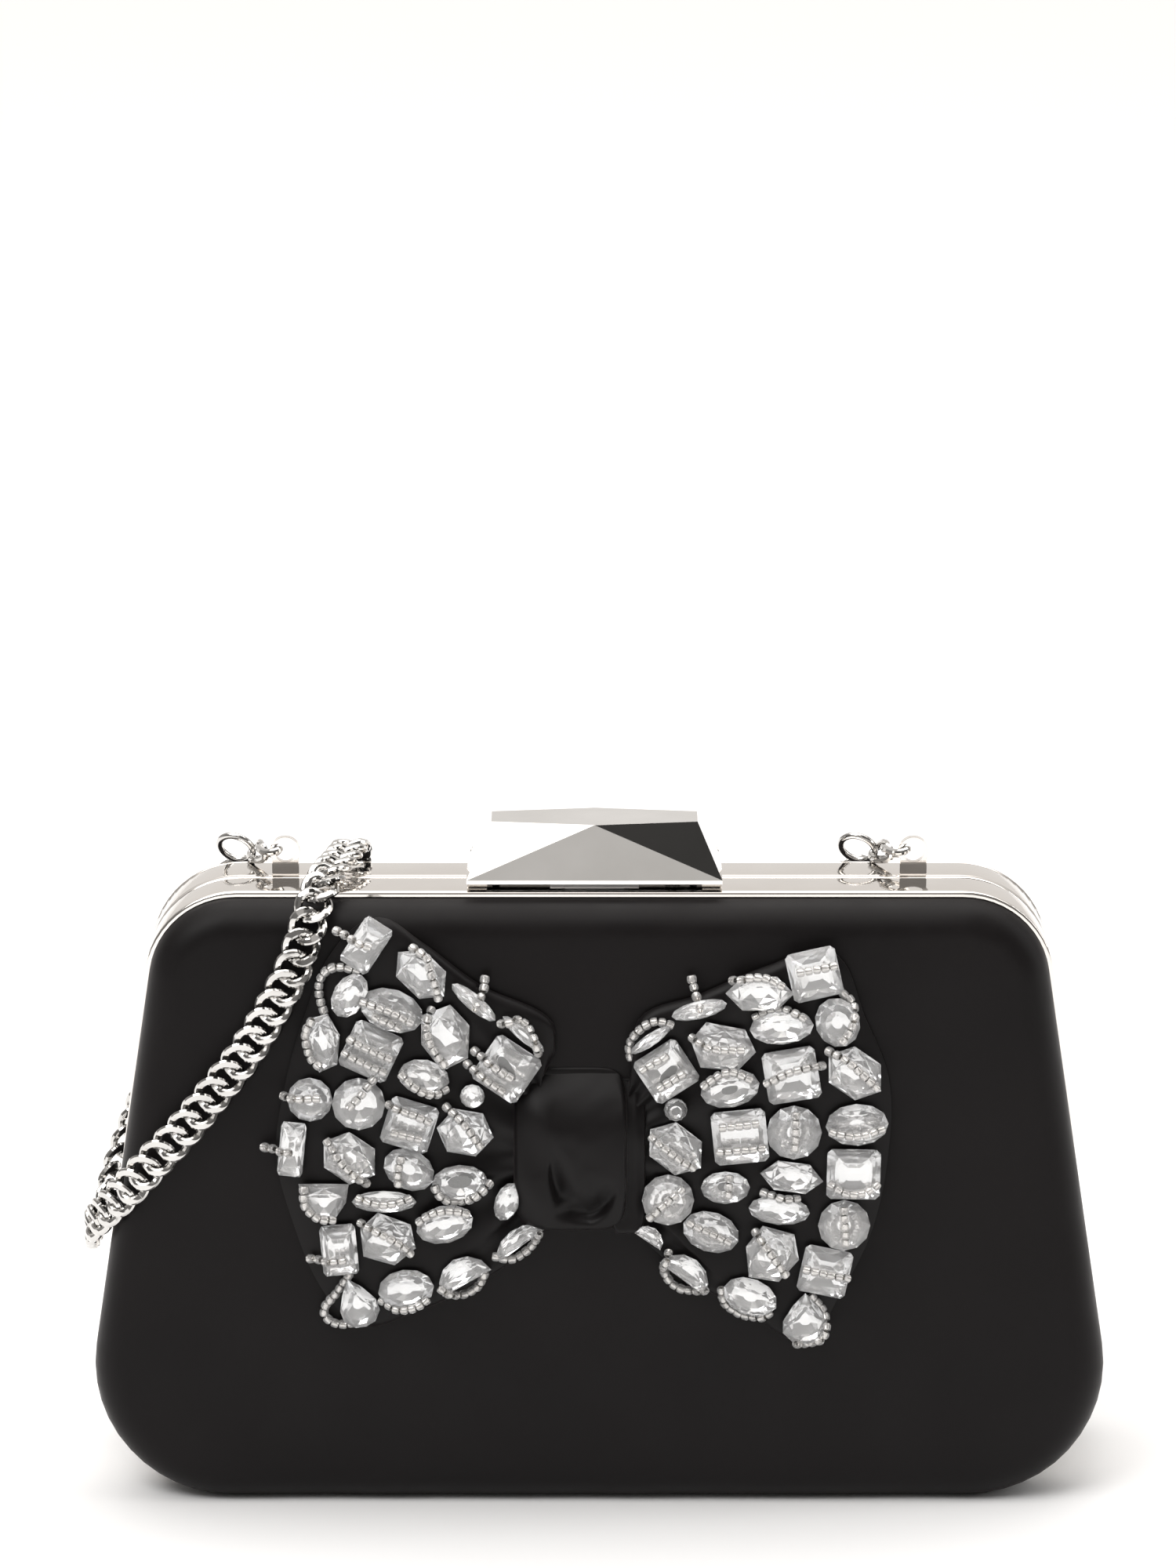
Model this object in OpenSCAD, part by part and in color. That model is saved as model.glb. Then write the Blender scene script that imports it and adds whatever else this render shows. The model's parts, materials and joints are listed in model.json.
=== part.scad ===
// Evening bag: a hard box clutch with a metal frame, a tilting bar clasp, a jewelled bow and a chain strap.
// The front half swings down about a hinge along the bottom. X runs along the bag, -Y is its front, Z is up.

/* [Case] */
// Width of the padded case at its widest
bag_w = 210; // [175:1:255]
// Height from the standing surface to the top of the frame
bag_h = 128; // [120:1:155]
// Depth of one half at the top edge, from the parting plane to the flat of its face
half_depth = 18; // [16:0.5:24]
// How much the face leans out towards the bottom, in degrees
face_slope = 3.6; // [2:0.1:5]
// Radius of the case's bottom corners
bottom_r = 28; // [22:1:34]
// Radius of the frame's top corners
top_r = 19; // [14:1:24]
// Thickness of the satin with its wadding
cover_t = 2.2; // [1.6:0.1:2.6]
// Wall of the stiff shell under the satin
shell_t = 1.4; // [1:0.1:1.8]
// Thickness of the lined card tray inside
lining_t = 1; // [0.6:0.1:1.4]
// Radius with which the padding rolls over the edge
edge_roll = 7; // [5.5:0.5:8]
// How far the middle of each face bulges
crown = 1.2; // [0.6:0.1:1.6]

/* [Frame] */
// Depth of each frame half
frame_d = 11.6; // [10:0.2:14]
// Thickness of the frame strip
frame_t = 1.2; // [1:0.1:1.6]
// Width of the inward web that the shell is fixed to
web_w = 6; // [4:0.5:8]
// Gap between the two frame halves when shut
parting_gap = 0.3; // [0.2:0.05:0.6]

/* [Hinge] */
// Length of the hinge
hinge_len = 100; // [80:1:120]
// Diameter of the hinge pin
hinge_pin_d = 1.2; // [1:0.1:1.4]
// Outside diameter of the knuckles
knuckle_d = 3; // [2.6:0.1:3.2]
// Number of knuckles
knuckles = 5; // [3:2:9]

/* [Clasp] */
// Length of the bar along its bottom
bar_len = 52; // [40:1:64]
// Length of the bar along its top
bar_top_len = 42; // [32:1:44]
// Depth of the bar over both frame halves
bar_depth = 24; // [22:0.5:28]
// Height of the bar
bar_height = 11; // [9:0.5:14]
// Gap between the frame and the bar's lower edge
bar_gap = 1.8; // [1.6:0.1:2.4]
// Offset of the clasp from the middle
clasp_x = -1; // [-3:0.5:3]
// Diameter of the clasp's pivot pin
clasp_pin_d = 1.6; // [1.2:0.1:2]

/* [Strap fittings] */
// Distance of each ring lug from the middle
lug_x = 64.3; // [58:0.1:68]
// Hole in the ring lug
lug_hole_d = 4.2; // [4:0.1:4.8]
// Outside diameter of the ring lug
lug_d = 6.3; // [6:0.1:7.5]
// Width of the chain
chain_w = 8; // [7:0.5:9]
// Thickness of the chain
chain_t = 3.2; // [2.6:0.1:3.4]

/* [Bow] */
// Thickness of the satin wings behind the stones
wing_t = 2; // [1.5:0.1:2.5]
// Height of the faceted stones
stone_h = 3.4; // [2.5:0.1:4]
// Diameter of the seed beads
bead_d = 2; // [1.6:0.1:2.2]
// Height of the knot above the face
knot_h = 10; // [8:0.5:12]

/* [Hidden] */

frame_lean = 7.9;                          // lean of the frame's sides
cover_lean = 9;                            // lean of the padded sides
glue = 0.05;                               // bond line between layers
run = 0.05;                                // radial running clearance of the pins
clear = 0.3;                               // space between parts that move past each other
arc_steps = 8;                             // facets of each outline corner
hinge_z = knuckle_d/2 + 0.1;               // height of the hinge axis above the standing surface
leaf_t = 0.6;                              // hinge leaf
frame_z = hinge_z + 0.2 + leaf_t + glue;   // underside of the frame
cover_top = bag_h - 1;                     // top of the padded edge
frame_front = frame_d + glue;              // where the padded edge starts
stack_h = crown + wing_t + stone_h + bead_d + 0.5;
parting_y = stack_h/2 - 1;                 // sets the origin under the middle of the bag

// An outline is [half width at the bottom corners, bottom, top, lean, top radius, bottom radius]
frame_line = [bag_w/2 - 0.8, frame_z, bag_h, frame_lean, top_r, bottom_r - frame_z];
cover_line = [bag_w/2, 0, cover_top, cover_lean, top_r - 1, bottom_r];

function side_x(o, z) = o[0] - (z - bottom_r)*tan(o[3]);
function arc(c, r, a0, a1) = [for (k = [0:arc_steps]) let (a = a0 + (a1 - a0)*k/arc_steps)
    [c[0] + r*cos(a), c[1] + r*sin(a)]];
function right_side(o, i) = let (rb = o[5], rt = o[4], zb = o[1] + rb, zt = o[2] - rt)
    concat(arc([side_x(o, zb) - rb/cos(o[3]), zb], rb - i, -90, o[3]),
           arc([side_x(o, zt) - rt/cos(o[3]), zt], rt - i, o[3], 90));
function outline(o, i) = let (r = right_side(o, i))
    concat(r, [for (k = [len(r) - 1:-1:0]) [-r[k][0], r[k][1]]]);

// Depth of a face's flat at height z, measured from the parting plane
function face_y(z) = half_depth + (bag_h - z)*tan(face_slope);

// Rings of one skin of a pan: the wall, the roll over the edge, then the crowned face
mid = [0, bag_h/2];
function wall_ring(o, i, y) = [for (p = outline(o, i)) [p[0], -y, p[1]]];
function roll_ring(o, i, less, roll, a) = [for (p = outline(o, i + roll*(1 - cos(a))))
    [p[0], -(face_y(p[1]) - less - roll*(1 - sin(a))), p[1]]];
function crown_ring(o, i, less, f) = [for (p = outline(o, i)) let (q = mid + f*(p - mid))
    [q[0], -(face_y(q[1]) - less + crown*(1 - f*f)), q[1]]];
function skin(o, i, less, rim_y, roll) = concat([wall_ring(o, i, rim_y)],
    [for (a = [0:30:90]) roll_ring(o, i, less, roll, a)],
    [for (f = [0.8, 0.5, 0.25]) crown_ring(o, i + roll, less, f)]);
function reversed(v) = [for (k = [len(v) - 1:-1:0]) v[k]];

// A closed solid through rings of equal length, capped at both ends
module loft(rings) {
    n = len(rings[0]);
    sides = [for (j = [0:len(rings) - 2]) for (k = [0:n - 1]) let (m = (k + 1)%n)
        each [[j*n + k, j*n + m, (j + 1)*n + m], [j*n + k, (j + 1)*n + m, (j + 1)*n + k]]];
    last = (len(rings) - 1)*n;
    polyhedron(points = [for (r = rings) each r],
        faces = concat([[for (k = [n - 1:-1:0]) k]], sides, [[for (k = [0:n - 1]) last + k]]));
}
module pan(o, i, t, less, rim_y, roll)
    loft(concat(reversed(skin(o, i + t, less + t, rim_y, max(roll - t, 1))), skin(o, i, less, rim_y, roll)));

// Tube of oval section along a route; n gives the direction that the flat side faces
function unit(v) = v/norm(v);
function route_dir(p, k) = unit(p[min(k + 1, len(p) - 1)] - p[max(k - 1, 0)]);
function oval_ring(c, dir, face, w, t, sides) = let (s = unit(cross(dir, face)), f = cross(s, dir))
    [for (j = [0:sides - 1]) let (a = 360*(j + 0.5)/sides) c + s*(w/2*cos(a)) + f*(t/2*sin(a))];
module tube(p, faces, w, t, sides)
    loft([for (k = [0:len(p) - 1]) oval_ring(p[k], route_dir(p, k), faces[k], w, t, sides)]);

module at_parting() translate([0, parting_y, 0]) children();
module rear() mirror([0, 1, 0]) children();
// A plate of a given outline between two depths in front of the parting plane
module slab(points, y0, y1) translate([0, -y0, 0]) rotate([90, 0, 0]) linear_extrude(y1 - y0) polygon(points);
// Local axes on the front face: X along the bag, Y up the face, Z out of it
module on_face(u, v, h)
    translate([u, -face_y(v), v]) rotate([90 - face_slope, 0, 0]) translate([0, 0, h]) children();
module x_rod(x0, x1, d) translate([x0, 0, 0]) rotate([0, 90, 0]) cylinder(h = x1 - x0, d = d, $fn = 48);
module place(at, x, y) let (a = unit(x), c = unit(cross(x, y)), b = cross(c, a))
    multmatrix([[a[0], b[0], c[0], at[0]], [a[1], b[1], c[1], at[1]], [a[2], b[2], c[2], at[2]], [0, 0, 0, 1]])
        children();

// ---- Case ----
hinge_slot = knuckle_d/2 + clear;
module frame_half() difference() {
    slab(outline(frame_line, 0), parting_gap/2, frame_d);
    slab(outline(frame_line, frame_t), -1, frame_d - frame_t);
    slab(outline(frame_line, frame_t + web_w), -1, frame_d + 1);
    translate([-hinge_len/2 - clear, -hinge_slot, 0])
        cube([hinge_len + 2*clear, 2*hinge_slot, frame_z + frame_t + 1]);
}
module shell_half() pan(cover_line, cover_t + glue, shell_t, cover_t + glue, frame_front, edge_roll - cover_t);
module cover_half() pan(cover_line, 0, cover_t, 0, frame_front, edge_roll);
tray_inset = frame_t + web_w + 0.15;
tray_less = cover_t + shell_t + 2*glue + 0.1;
module lining_half() pan(frame_line, tray_inset, lining_t, tray_less, 1.5, 3);

module rear_frame() color("lightsteelblue") at_parting() rear() frame_half();
module rear_shell() color("dimgray") at_parting() rear() shell_half();
module rear_cover() color([0.09, 0.09, 0.1]) at_parting() rear() cover_half();
module rear_lining() color([0.15, 0.15, 0.17]) at_parting() rear() lining_half();
module front_frame() color("lightsteelblue") at_parting() frame_half();
module front_shell() color("dimgray") at_parting() shell_half();
module front_cover() color([0.09, 0.09, 0.1]) at_parting() cover_half();
module front_lining() color([0.15, 0.15, 0.17]) at_parting() lining_half();

// ---- Hinge ----
leaf_w = 7;
knuckle_len = hinge_len/knuckles;
rivet_d = 1.2;
leaf_rivets = [for (k = [-2:2]) k*hinge_len/5];
module at_hinge() translate([0, 0, hinge_z]) children();
// first is 0 or 1: which knuckles of the row this leaf has
module leaf(first) at_hinge() difference() {
    union() {
        translate([-hinge_len/2, -hinge_slot - leaf_w, 0.2]) cube([hinge_len, leaf_w, leaf_t]);
        for (k = [first:2:knuckles - 1]) {
            translate([-hinge_len/2 + k*knuckle_len + 0.15, 0, 0]) {
                x_rod(0, knuckle_len - 0.3, knuckle_d);
                translate([0, -hinge_slot - 1, 0.2]) cube([knuckle_len - 0.3, hinge_slot + 1, leaf_t]);
            }
        }
    }
    x_rod(-hinge_len/2 - 1, hinge_len/2 + 1, hinge_pin_d + 2*run);
    for (x = leaf_rivets) translate([x, -hinge_slot - leaf_w/2, 0]) cylinder(h = 2, d = rivet_d, $fn = 32);
}
module leaf_rivet_row() for (x = leaf_rivets)
    translate([x, -hinge_slot - leaf_w/2, hinge_z + 0.2]) cylinder(h = leaf_t, d = rivet_d, $fn = 32);
module rear_hinge_leaf() color("silver") at_parting() rear() leaf(0);
module front_hinge_leaf() color("silver") at_parting() leaf(1);
module rear_hinge_rivets() color("gray") at_parting() rear() leaf_rivet_row();
module front_hinge_rivets() color("gray") at_parting() leaf_rivet_row();
module hinge_pin() color("gray") at_parting() at_hinge() x_rod(-hinge_len/2, hinge_len/2, hinge_pin_d);

// ---- Clasp ----
bar_z = bag_h + bar_gap;
pocket = [bar_len - 8, bar_depth - 7, 4.2];   // hollow under the bar
ear_x = pocket[0]/2 - 2.4;
ear_t = 1.5;
ear_r = clasp_pin_d/2 + 0.8;
pivot_y = pocket[1]/2 - ear_r - clear;
pivot_z = bar_z + 1.9;
base_t = 0.8;
catch_y = pocket[1]/2 - 1.2;                 // back of the catch plate
module at_clasp() at_parting() translate([clasp_x, 0, 0]) children();
module at_pivot() translate([0, pivot_y, pivot_z]) children();

// Faceted bar: a rectangle below, a long hexagon on top, and a big centre facet front and back
module bar_body() {
    l = bar_len/2;
    d = bar_depth/2;
    t = bar_top_len/2;
    band = 0.8;
    z = [bar_z, bar_z + band, bar_z + bar_height];
    polyhedron(
        points = [[-l, -d, z[0]], [l, -d, z[0]], [l, d, z[0]], [-l, d, z[0]],
            [-l, -d, z[1]], [l, -d, z[1]], [l, d, z[1]], [-l, d, z[1]],
            [-t, -d*0.33, z[2]], [0, -d*0.56, z[2]], [t, -d*0.33, z[2]],
            [t, d*0.33, z[2]], [0, d*0.56, z[2]], [-t, d*0.33, z[2]]],
        faces = [[0, 1, 2, 3], [0, 4, 5, 1], [1, 5, 6, 2], [2, 6, 7, 3], [3, 7, 4, 0],
            [4, 9, 5], [4, 8, 9], [9, 10, 5], [5, 10, 11, 6],
            [6, 12, 7], [6, 11, 12], [12, 13, 7], [7, 13, 8, 4], [13, 12, 11, 10, 9, 8]]);
}
module clasp_bar() color("lightsteelblue") at_clasp() difference() {
    bar_body();
    translate([-pocket[0]/2, -pocket[1]/2, bar_z - 1]) cube([pocket[0], pocket[1], pocket[2] + 1]);
    at_pivot() x_rod(-bar_len/2 - 1, bar_len/2 + 1, clasp_pin_d);
}
// The pin is fast in the bar and turns in the bracket's ears
module clasp_pin() color("gray") at_clasp() at_pivot() x_rod(-bar_len/2 + 1.5, bar_len/2 - 1.5, clasp_pin_d);
bracket_rivet_d = 1.4;
module at_bracket_rivets() for (s = [-1, 1]) translate([s*12, pivot_y - 3, bag_h]) children();
module clasp_bracket() color("silver") at_clasp() difference() {
    union() {
        translate([-ear_x - ear_t, pivot_y - ear_r - 3, bag_h]) cube([2*(ear_x + ear_t), 2*ear_r + 3, base_t]);
        for (s = [-1, 1]) translate([s*(ear_x + ear_t/2) - ear_t/2, pivot_y - ear_r, bag_h]) {
            cube([ear_t, 2*ear_r - 1, pivot_z - bag_h]);
            translate([0, ear_r, pivot_z - bag_h]) x_rod(0, ear_t, 2*ear_r);
        }
    }
    at_pivot() x_rod(-bar_len, bar_len, clasp_pin_d + 2*run);
    at_bracket_rivets() translate([0, 0, -1]) cylinder(h = 3, d = bracket_rivet_d, $fn = 32);
}
module bracket_rivets() color("gray") at_clasp() at_bracket_rivets() {
    cylinder(h = base_t, d = bracket_rivet_d, $fn = 32);
    translate([0, 0, base_t]) cylinder(h = 0.4, d = bracket_rivet_d + 0.8, $fn = 32);
}
// Steel plate under the bar whose lip catches below the striker's lip
catch_w = 14;
catch_t = 0.8;
lip = 0.5;
catch_z = bag_h + 1.2;
module clasp_catch() color("gray") at_clasp() translate([-catch_w/2, -catch_y - catch_t, 0]) {
    translate([0, 0, bar_z + pocket[2] - catch_t]) cube([catch_w, 6, catch_t]);
    translate([0, 0, catch_z]) cube([catch_w, catch_t, bar_z + pocket[2] - catch_z - 0.1]);
    translate([0, 0, catch_z]) cube([catch_w, catch_t + lip, lip]);
}
// Torsion spring round the pin
spring_turns = 5;
spring_wire = 0.5;
module clasp_spring() color("dimgray") at_clasp() at_pivot() {
    steps = 12;
    r = clasp_pin_d/2 + 0.15 + spring_wire/2;
    path = [for (k = [0:spring_turns*steps]) let (a = 360*k/steps)
        [ear_x - 5 + k*0.65/steps, r*cos(a), r*sin(a)]];
    tube(path, [for (k = path) [1, 0, 0]], spring_wire, spring_wire, 6);
}
// Leaf on the front frame half that the catch snaps over
striker_w = 12;
striker_t = 0.5;
striker_y = catch_y - lip - clear;           // front of the striker's upright
striker_lip_z = catch_z + lip + clear;
striker_rivet = [striker_w/2 + 1.6, striker_y - 2.4];
module striker_spring() color("silver") at_clasp() difference() {
    union() {
        translate([-striker_w/2 - 3, -striker_y - 1, bag_h]) cube([striker_w + 6, 5, striker_t]);
        translate([-striker_w/2, -striker_y, bag_h]) cube([striker_w, striker_t, striker_lip_z - bag_h + lip]);
        translate([-striker_w/2, -striker_y - lip, striker_lip_z]) cube([striker_w, lip + striker_t, lip]);
    }
    for (s = [-1, 1]) translate([s*striker_rivet[0], -striker_rivet[1], bag_h - 1])
        cylinder(h = 3, d = 1, $fn = 32);
}
module striker_rivets() color("gray") at_clasp() for (s = [-1, 1])
    translate([s*striker_rivet[0], -striker_rivet[1], bag_h]) cylinder(h = striker_t, d = 1, $fn = 32);

// ---- Lugs and strap ends ----
lug_t = 1.2;
lug_y = parting_gap/2 + 0.15;
lug_z = bag_h + lug_d/2 + 2.1;
module lug() translate([0, lug_y + lug_t, lug_z]) rotate([90, 0, 0]) difference() {
    union() {
        cylinder(h = lug_t, d = lug_d, $fn = 64);
        translate([-lug_d/2 + 0.4, bag_h - lug_z, 0]) cube([lug_d - 0.8, lug_z - bag_h - 1.5, lug_t]);
    }
    translate([0, 0, -1]) cylinder(h = lug_t + 2, d = lug_hole_d, $fn = 64);
}
module at_lugs() for (s = [-1, 1]) translate([s*lug_x, 0, 0]) children();
module chain_lugs() color("lightsteelblue") at_parting() at_lugs() lug();

link_dir = unit([-0.36, 0.88, -0.26]);
link_side = unit(cross([0, 0, 1], link_dir));
link_r = 2.15;
link_wire = 1.2;
link_at = [-(lug_d + lug_hole_d)/4, lug_y + lug_t/2, lug_z];
link_run = 13;
module half_ring(r, wire, a0) rotate([0, 0, a0]) rotate_extrude(angle = 180, $fn = 48)
    translate([r, 0]) circle(d = wire, $fn = 32);
module end_link() place(link_at, link_dir, link_side) {
    half_ring(link_r, link_wire, 90);
    translate([link_run, 0, 0]) half_ring(link_r, link_wire, -90);
    for (s = [-1, 1]) translate([0, s*link_r, 0]) x_rod(0, link_run, link_wire);
}
ring_r = 3.65;
ring_wire = 1.4;
ring_out = [-0.96, 0.23, 0.15];
ring_up = [0, -0.55, 0.835];
module end_ring() place(link_at + link_dir*(link_run - 0.2) + ring_out*ring_r, ring_out, ring_up)
    rotate_extrude($fn = 64) translate([ring_r, 0]) circle(d = ring_wire, $fn = 32);
module strap_end_links() color("silver") at_parting() at_lugs() end_link();
module strap_end_rings() color("silver") at_parting() at_lugs() end_ring();

// ---- Chain route: each row is a point, then the direction that the chain's flat side faces ----
drape = [[[-52, 23, 100], [0, 1, 0]], [[-52, 21.8, 114], [0, 1, 0]], [[-51.5, 19, 124], [0, 0.9, 0.4]],
    [[-51, 14.5, 130], [0, 0.5, 0.85]], [[-51.5, 8, 132], [0, 0.1, 1]], [[-53, 0, 132], [0, 0, 1]],
    [[-55, -8.5, 131.6], [0, -0.2, 1]], [[-57, -15.4, 128.9], [0, -0.6, 0.8]],
    [[-59, -20, 123.2], [0, -0.9, 0.4]], [[-61.5, -22.2, 116], [0, -1, 0.1]],
    [[-66, -23, 107], [0, -1, 0]], [[-71.5, -23.6, 98], [0, -1, 0]], [[-78, -24, 89.5], [0, -1, 0]],
    [[-85, -24.3, 81], [0, -1, 0]], [[-91.5, -24.2, 74], [-0.2, -1, 0]],
    [[-97, -22.3, 67.5], [-0.5, -0.85, 0]], [[-101.5, -18.5, 62], [-0.8, -0.6, 0]],
    [[-104.8, -12.5, 57], [-1, -0.2, 0]], [[-105.8, -4, 52.5], [-1, 0, 0]],
    [[-105.8, 4, 50.5], [-1, 0, 0]], [[-104.8, 12.5, 51.5], [-1, 0.2, 0]],
    [[-102.8, 19.5, 56.5], [-0.7, 0.7, 0]], [[-99, 24, 65], [-0.3, 0.95, 0]],
    [[-94.5, 25.2, 76], [0, 1, 0]], [[-89.5, 25, 87], [0, 1, 0]], [[-84.5, 24.3, 98], [0, 1, 0]],
    [[-80, 22.8, 109], [0, 1, 0.1]], [[-77, 21.4, 116], [0, 1, 0.1]], [[-76, 20.9, 121], [0, 1, 0.3]],
    [[-75.5, 18.8, 124.8], [0, 0.9, 0.5]]];
drop = [[[53.1, 18.8, 124.8], [0, 0.9, 0.5]], [[53.2, 20.6, 121], [0, 1, 0.3]],
    [[53.4, 22, 114], [0, 1, 0]], [[53.8, 23.2, 102], [0, 1, 0]], [[54.2, 24.2, 88], [0, 1, 0]],
    [[54.6, 25.2, 72], [0, 1, 0]], [[55, 26.6, 56], [0, 1, 0]], [[55, 28.4, 41], [0, 1, 0.1]],
    [[54, 30.6, 28], [0, 1, 0.2]], [[50, 33, 16], [0, 0.9, 0.4]], [[42, 35, 7.5], [0, 0.5, 0.8]],
    [[31, 36, 4], [0, 0.1, 1]]];
rise = [[[-8, 44.4, 7.6], [0, 0, 1]], [[-19, 43, 10], [0, 0.3, 1]], [[-30, 39.5, 16], [0, 0.7, 0.7]],
    [[-39, 35, 26], [0, 0.9, 0.3]], [[-45.5, 31, 38], [0, 1, 0]], [[-49.5, 28, 53], [0, 1, 0]],
    [[-51.5, 26, 70], [0, 1, 0]], [[-52, 24.4, 86], [0, 1, 0]], [[-52, 23, 100], [0, 1, 0]]];
function points(r) = [for (q = r) q[0]];
function facing(r) = [for (q = r) q[1]];
module chain_run(r) tube(points(r), facing(r), chain_w, chain_t, 8);
module strap_drape() color("gainsboro") at_parting() chain_run(drape);
module strap_drop() color("gainsboro") at_parting() chain_run(drop);
module strap_rise() color("gainsboro") at_parting() chain_run(rise);

// Hank of the spare chain, lying behind the bag: two turns, side by side in front and one on the other behind
hank_run = 72;
hank_r = 3*chain_w;
hank_y = 36 + hank_r;
hank_h = 2*chain_t + 1.8;
hank_z = 0.1;
hank_w = 2*chain_w + 1;
module stadium(r, run) {
    translate([-run/2, -r]) square([run, 2*r]);
    for (s = [-1, 1]) translate([s*run/2, 0]) circle(r = r, $fn = 48);
}
module strap_hank() color("gainsboro") at_parting() translate([0, hank_y, hank_z]) difference() {
    linear_extrude(hank_h) stadium(hank_r + chain_w/2, hank_run);
    translate([0, 0, -1]) linear_extrude(hank_h + 2) stadium(hank_r + chain_w/2 - hank_w, hank_run);
}
tie_w = 10;
tie_t = 0.8;
tie_x = 5;
module hank_tie() color([0.12, 0.12, 0.13]) at_parting() translate([tie_x, hank_y, hank_z]) difference() {
    w = hank_r + chain_w/2 + glue;
    translate([-tie_w/2, -w - tie_t, 0]) cube([tie_w, 2*(w + tie_t), hank_h + glue + tie_t]);
    translate([-tie_w/2 - 1, -w, -1]) cube([tie_w + 2, 2*w, hank_h + glue + 1]);
}

// ---- Bow ----
wing_h = crown + 0.2;                      // back of the wings above the face
stone_z = wing_h + wing_t + 0.1;           // back of the stones
strand_z = stone_z + stone_h + 0.1 + bead_d/2;
left_wing = [[-17, 61], [-17, 94], [-9, 97], [-10, 104], [-24, 111], [-36, 120], [-45, 125], [-54, 118],
    [-60, 104], [-64, 90], [-66, 76], [-63, 62], [-57, 47], [-49, 39], [-38, 42], [-27, 47], [-13, 57]];
right_wing = [[9, 58], [20, 48], [31, 42], [42, 36], [50, 47], [56, 60], [59, 76], [59, 91], [54, 104],
    [47, 118], [34, 115], [20, 109], [8, 104], [9, 94]];
module wing(p) on_face(0, 0, wing_h) linear_extrude(wing_t) polygon([for (q = p) [q[0], q[1]/cos(face_slope)]]);
module bow_left_wing() color([0.09, 0.09, 0.1]) at_parting() wing(left_wing);
module bow_right_wing() color([0.09, 0.09, 0.1]) at_parting() wing(right_wing);
// A puffed, rounded block of soft satin
function puff_ring(w, h, z, f) = [for (k = [0:19]) let (c = cos(18*k), s = sin(18*k))
    [f*w/2*sign(c)*pow(abs(c), 0.75), f*h/2*sign(s)*pow(abs(s), 0.75), z]];
module puff(w, h, t) loft([puff_ring(w, h, 0, 0.9), puff_ring(w, h, t*0.3, 1), puff_ring(w, h, t*0.65, 0.94),
    puff_ring(w, h, t*0.9, 0.75), puff_ring(w, h, t, 0.45)]);
module bow_knot() color([0.1, 0.1, 0.11]) at_parting() on_face(-6.6, 77, wing_h) puff(20, 33, knot_h - wing_h);
module bow_knot_fold() color([0.1, 0.1, 0.11]) at_parting() on_face(6.2, 76, wing_h) puff(4.8, 31, 6);

// Stones: [along the bag, up the bag, width, height, turn]
squares = [[-46.3, 98, 10, 10, -25], [-18.8, 94.3, 10.4, 10.4, -34], [-38.6, 82.6, 9.6, 9.6, -17],
    [43.4, 114, 9.8, 9.8, 13], [13.6, 93.8, 9.8, 9.8, 33], [39, 93, 10.4, 10.4, 10],
    [28.6, 80.1, 10.6, 10.6, 6], [51.8, 72.2, 10.4, 10, -1], [46.2, 51.6, 9.6, 9.6, -12]];
rounds = [[-58.8, 87.9, 8.8, 8.8, 0], [-48.9, 87, 10.4, 10.4, 0], [-25.8, 88.6, 4.8, 4.8, 0],
    [15.5, 85.8, 4.6, 4.6, 0], [39.6, 81, 10.8, 10.8, 0], [14, 66.8, 10.2, 10.2, 0],
    [50, 61.4, 10.2, 10.2, 0]];
ovals = [[-50.5, 109.6, 6.4, 9.4, -30], [-42, 106.5, 12.6, 8.4, -20], [-25.4, 108.2, 11, 3.2, -41],
    [-15.4, 101.6, 10.6, 2.6, -42], [-35.6, 92.6, 10, 7, -12], [-38.8, 73.2, 10.4, 8, -28],
    [-43.9, 66.4, 12.6, 4.4, 0], [-28.4, 70.4, 11, 7.2, 3], [-18.8, 66.4, 4.8, 8, -20],
    [-31.6, 61.6, 11.4, 7.6, 15], [-39.6, 47.8, 11, 8, 8], [20.2, 106.6, 11, 3.6, 14],
    [10.4, 100.4, 9.4, 2.4, 35], [36.9, 103, 12.4, 6.8, 5], [48.2, 104, 8.6, 10, 20],
    [26.5, 90.2, 11.6, 7.6, 12], [52.4, 82.6, 12.2, 8.4, 3], [25.7, 69.4, 9.6, 6.6, 0],
    [36.7, 64.6, 12, 5.8, -5], [22.8, 60, 11.4, 8, -20], [30.9, 46.2, 11, 7.4, -22]];
hexes = [[-36, 114, 12.4, 8.6, -45], [-27.3, 81, 11.2, 10, -10], [-50.9, 75.6, 12, 10, -35],
    [32.4, 110, 13.2, 7.8, 0], [51.8, 93.4, 12.4, 10, -35], [15.5, 77.6, 12.6, 9.8, -38],
    [39.2, 71.6, 12.4, 6.8, -8]];
shields = [[-55.9, 99.7, 6.8, 11.4, 8], [-31, 100.8, 10, 12.4, 15], [-43.4, 58.2, 11.4, 9.8, -25],
    [25, 98.6, 12.8, 9.4, -15], [35.2, 55, 10.6, 11.2, -20]];
rects = [[-47, 120, 6.2, 10.4, -33], [-62.6, 77.5, 4.9, 10.8, -6], [-53.2, 56.2, 7, 10.2, 5]];
halves = [[-56.2, 66.2, 9.8, 7.6, 180], [-28.5, 51.6, 11, 5.4, 30], [-17, 58.6, 11, 3.6, 37],
    [10.6, 59.4, 6.4, 3, -35], [18.4, 52, 11, 4.8, -38]];
drops = [[-49.7, 45, 8.2, 10.4, 20], [42.2, 41.6, 9.6, 10.4, 0]];

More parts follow.
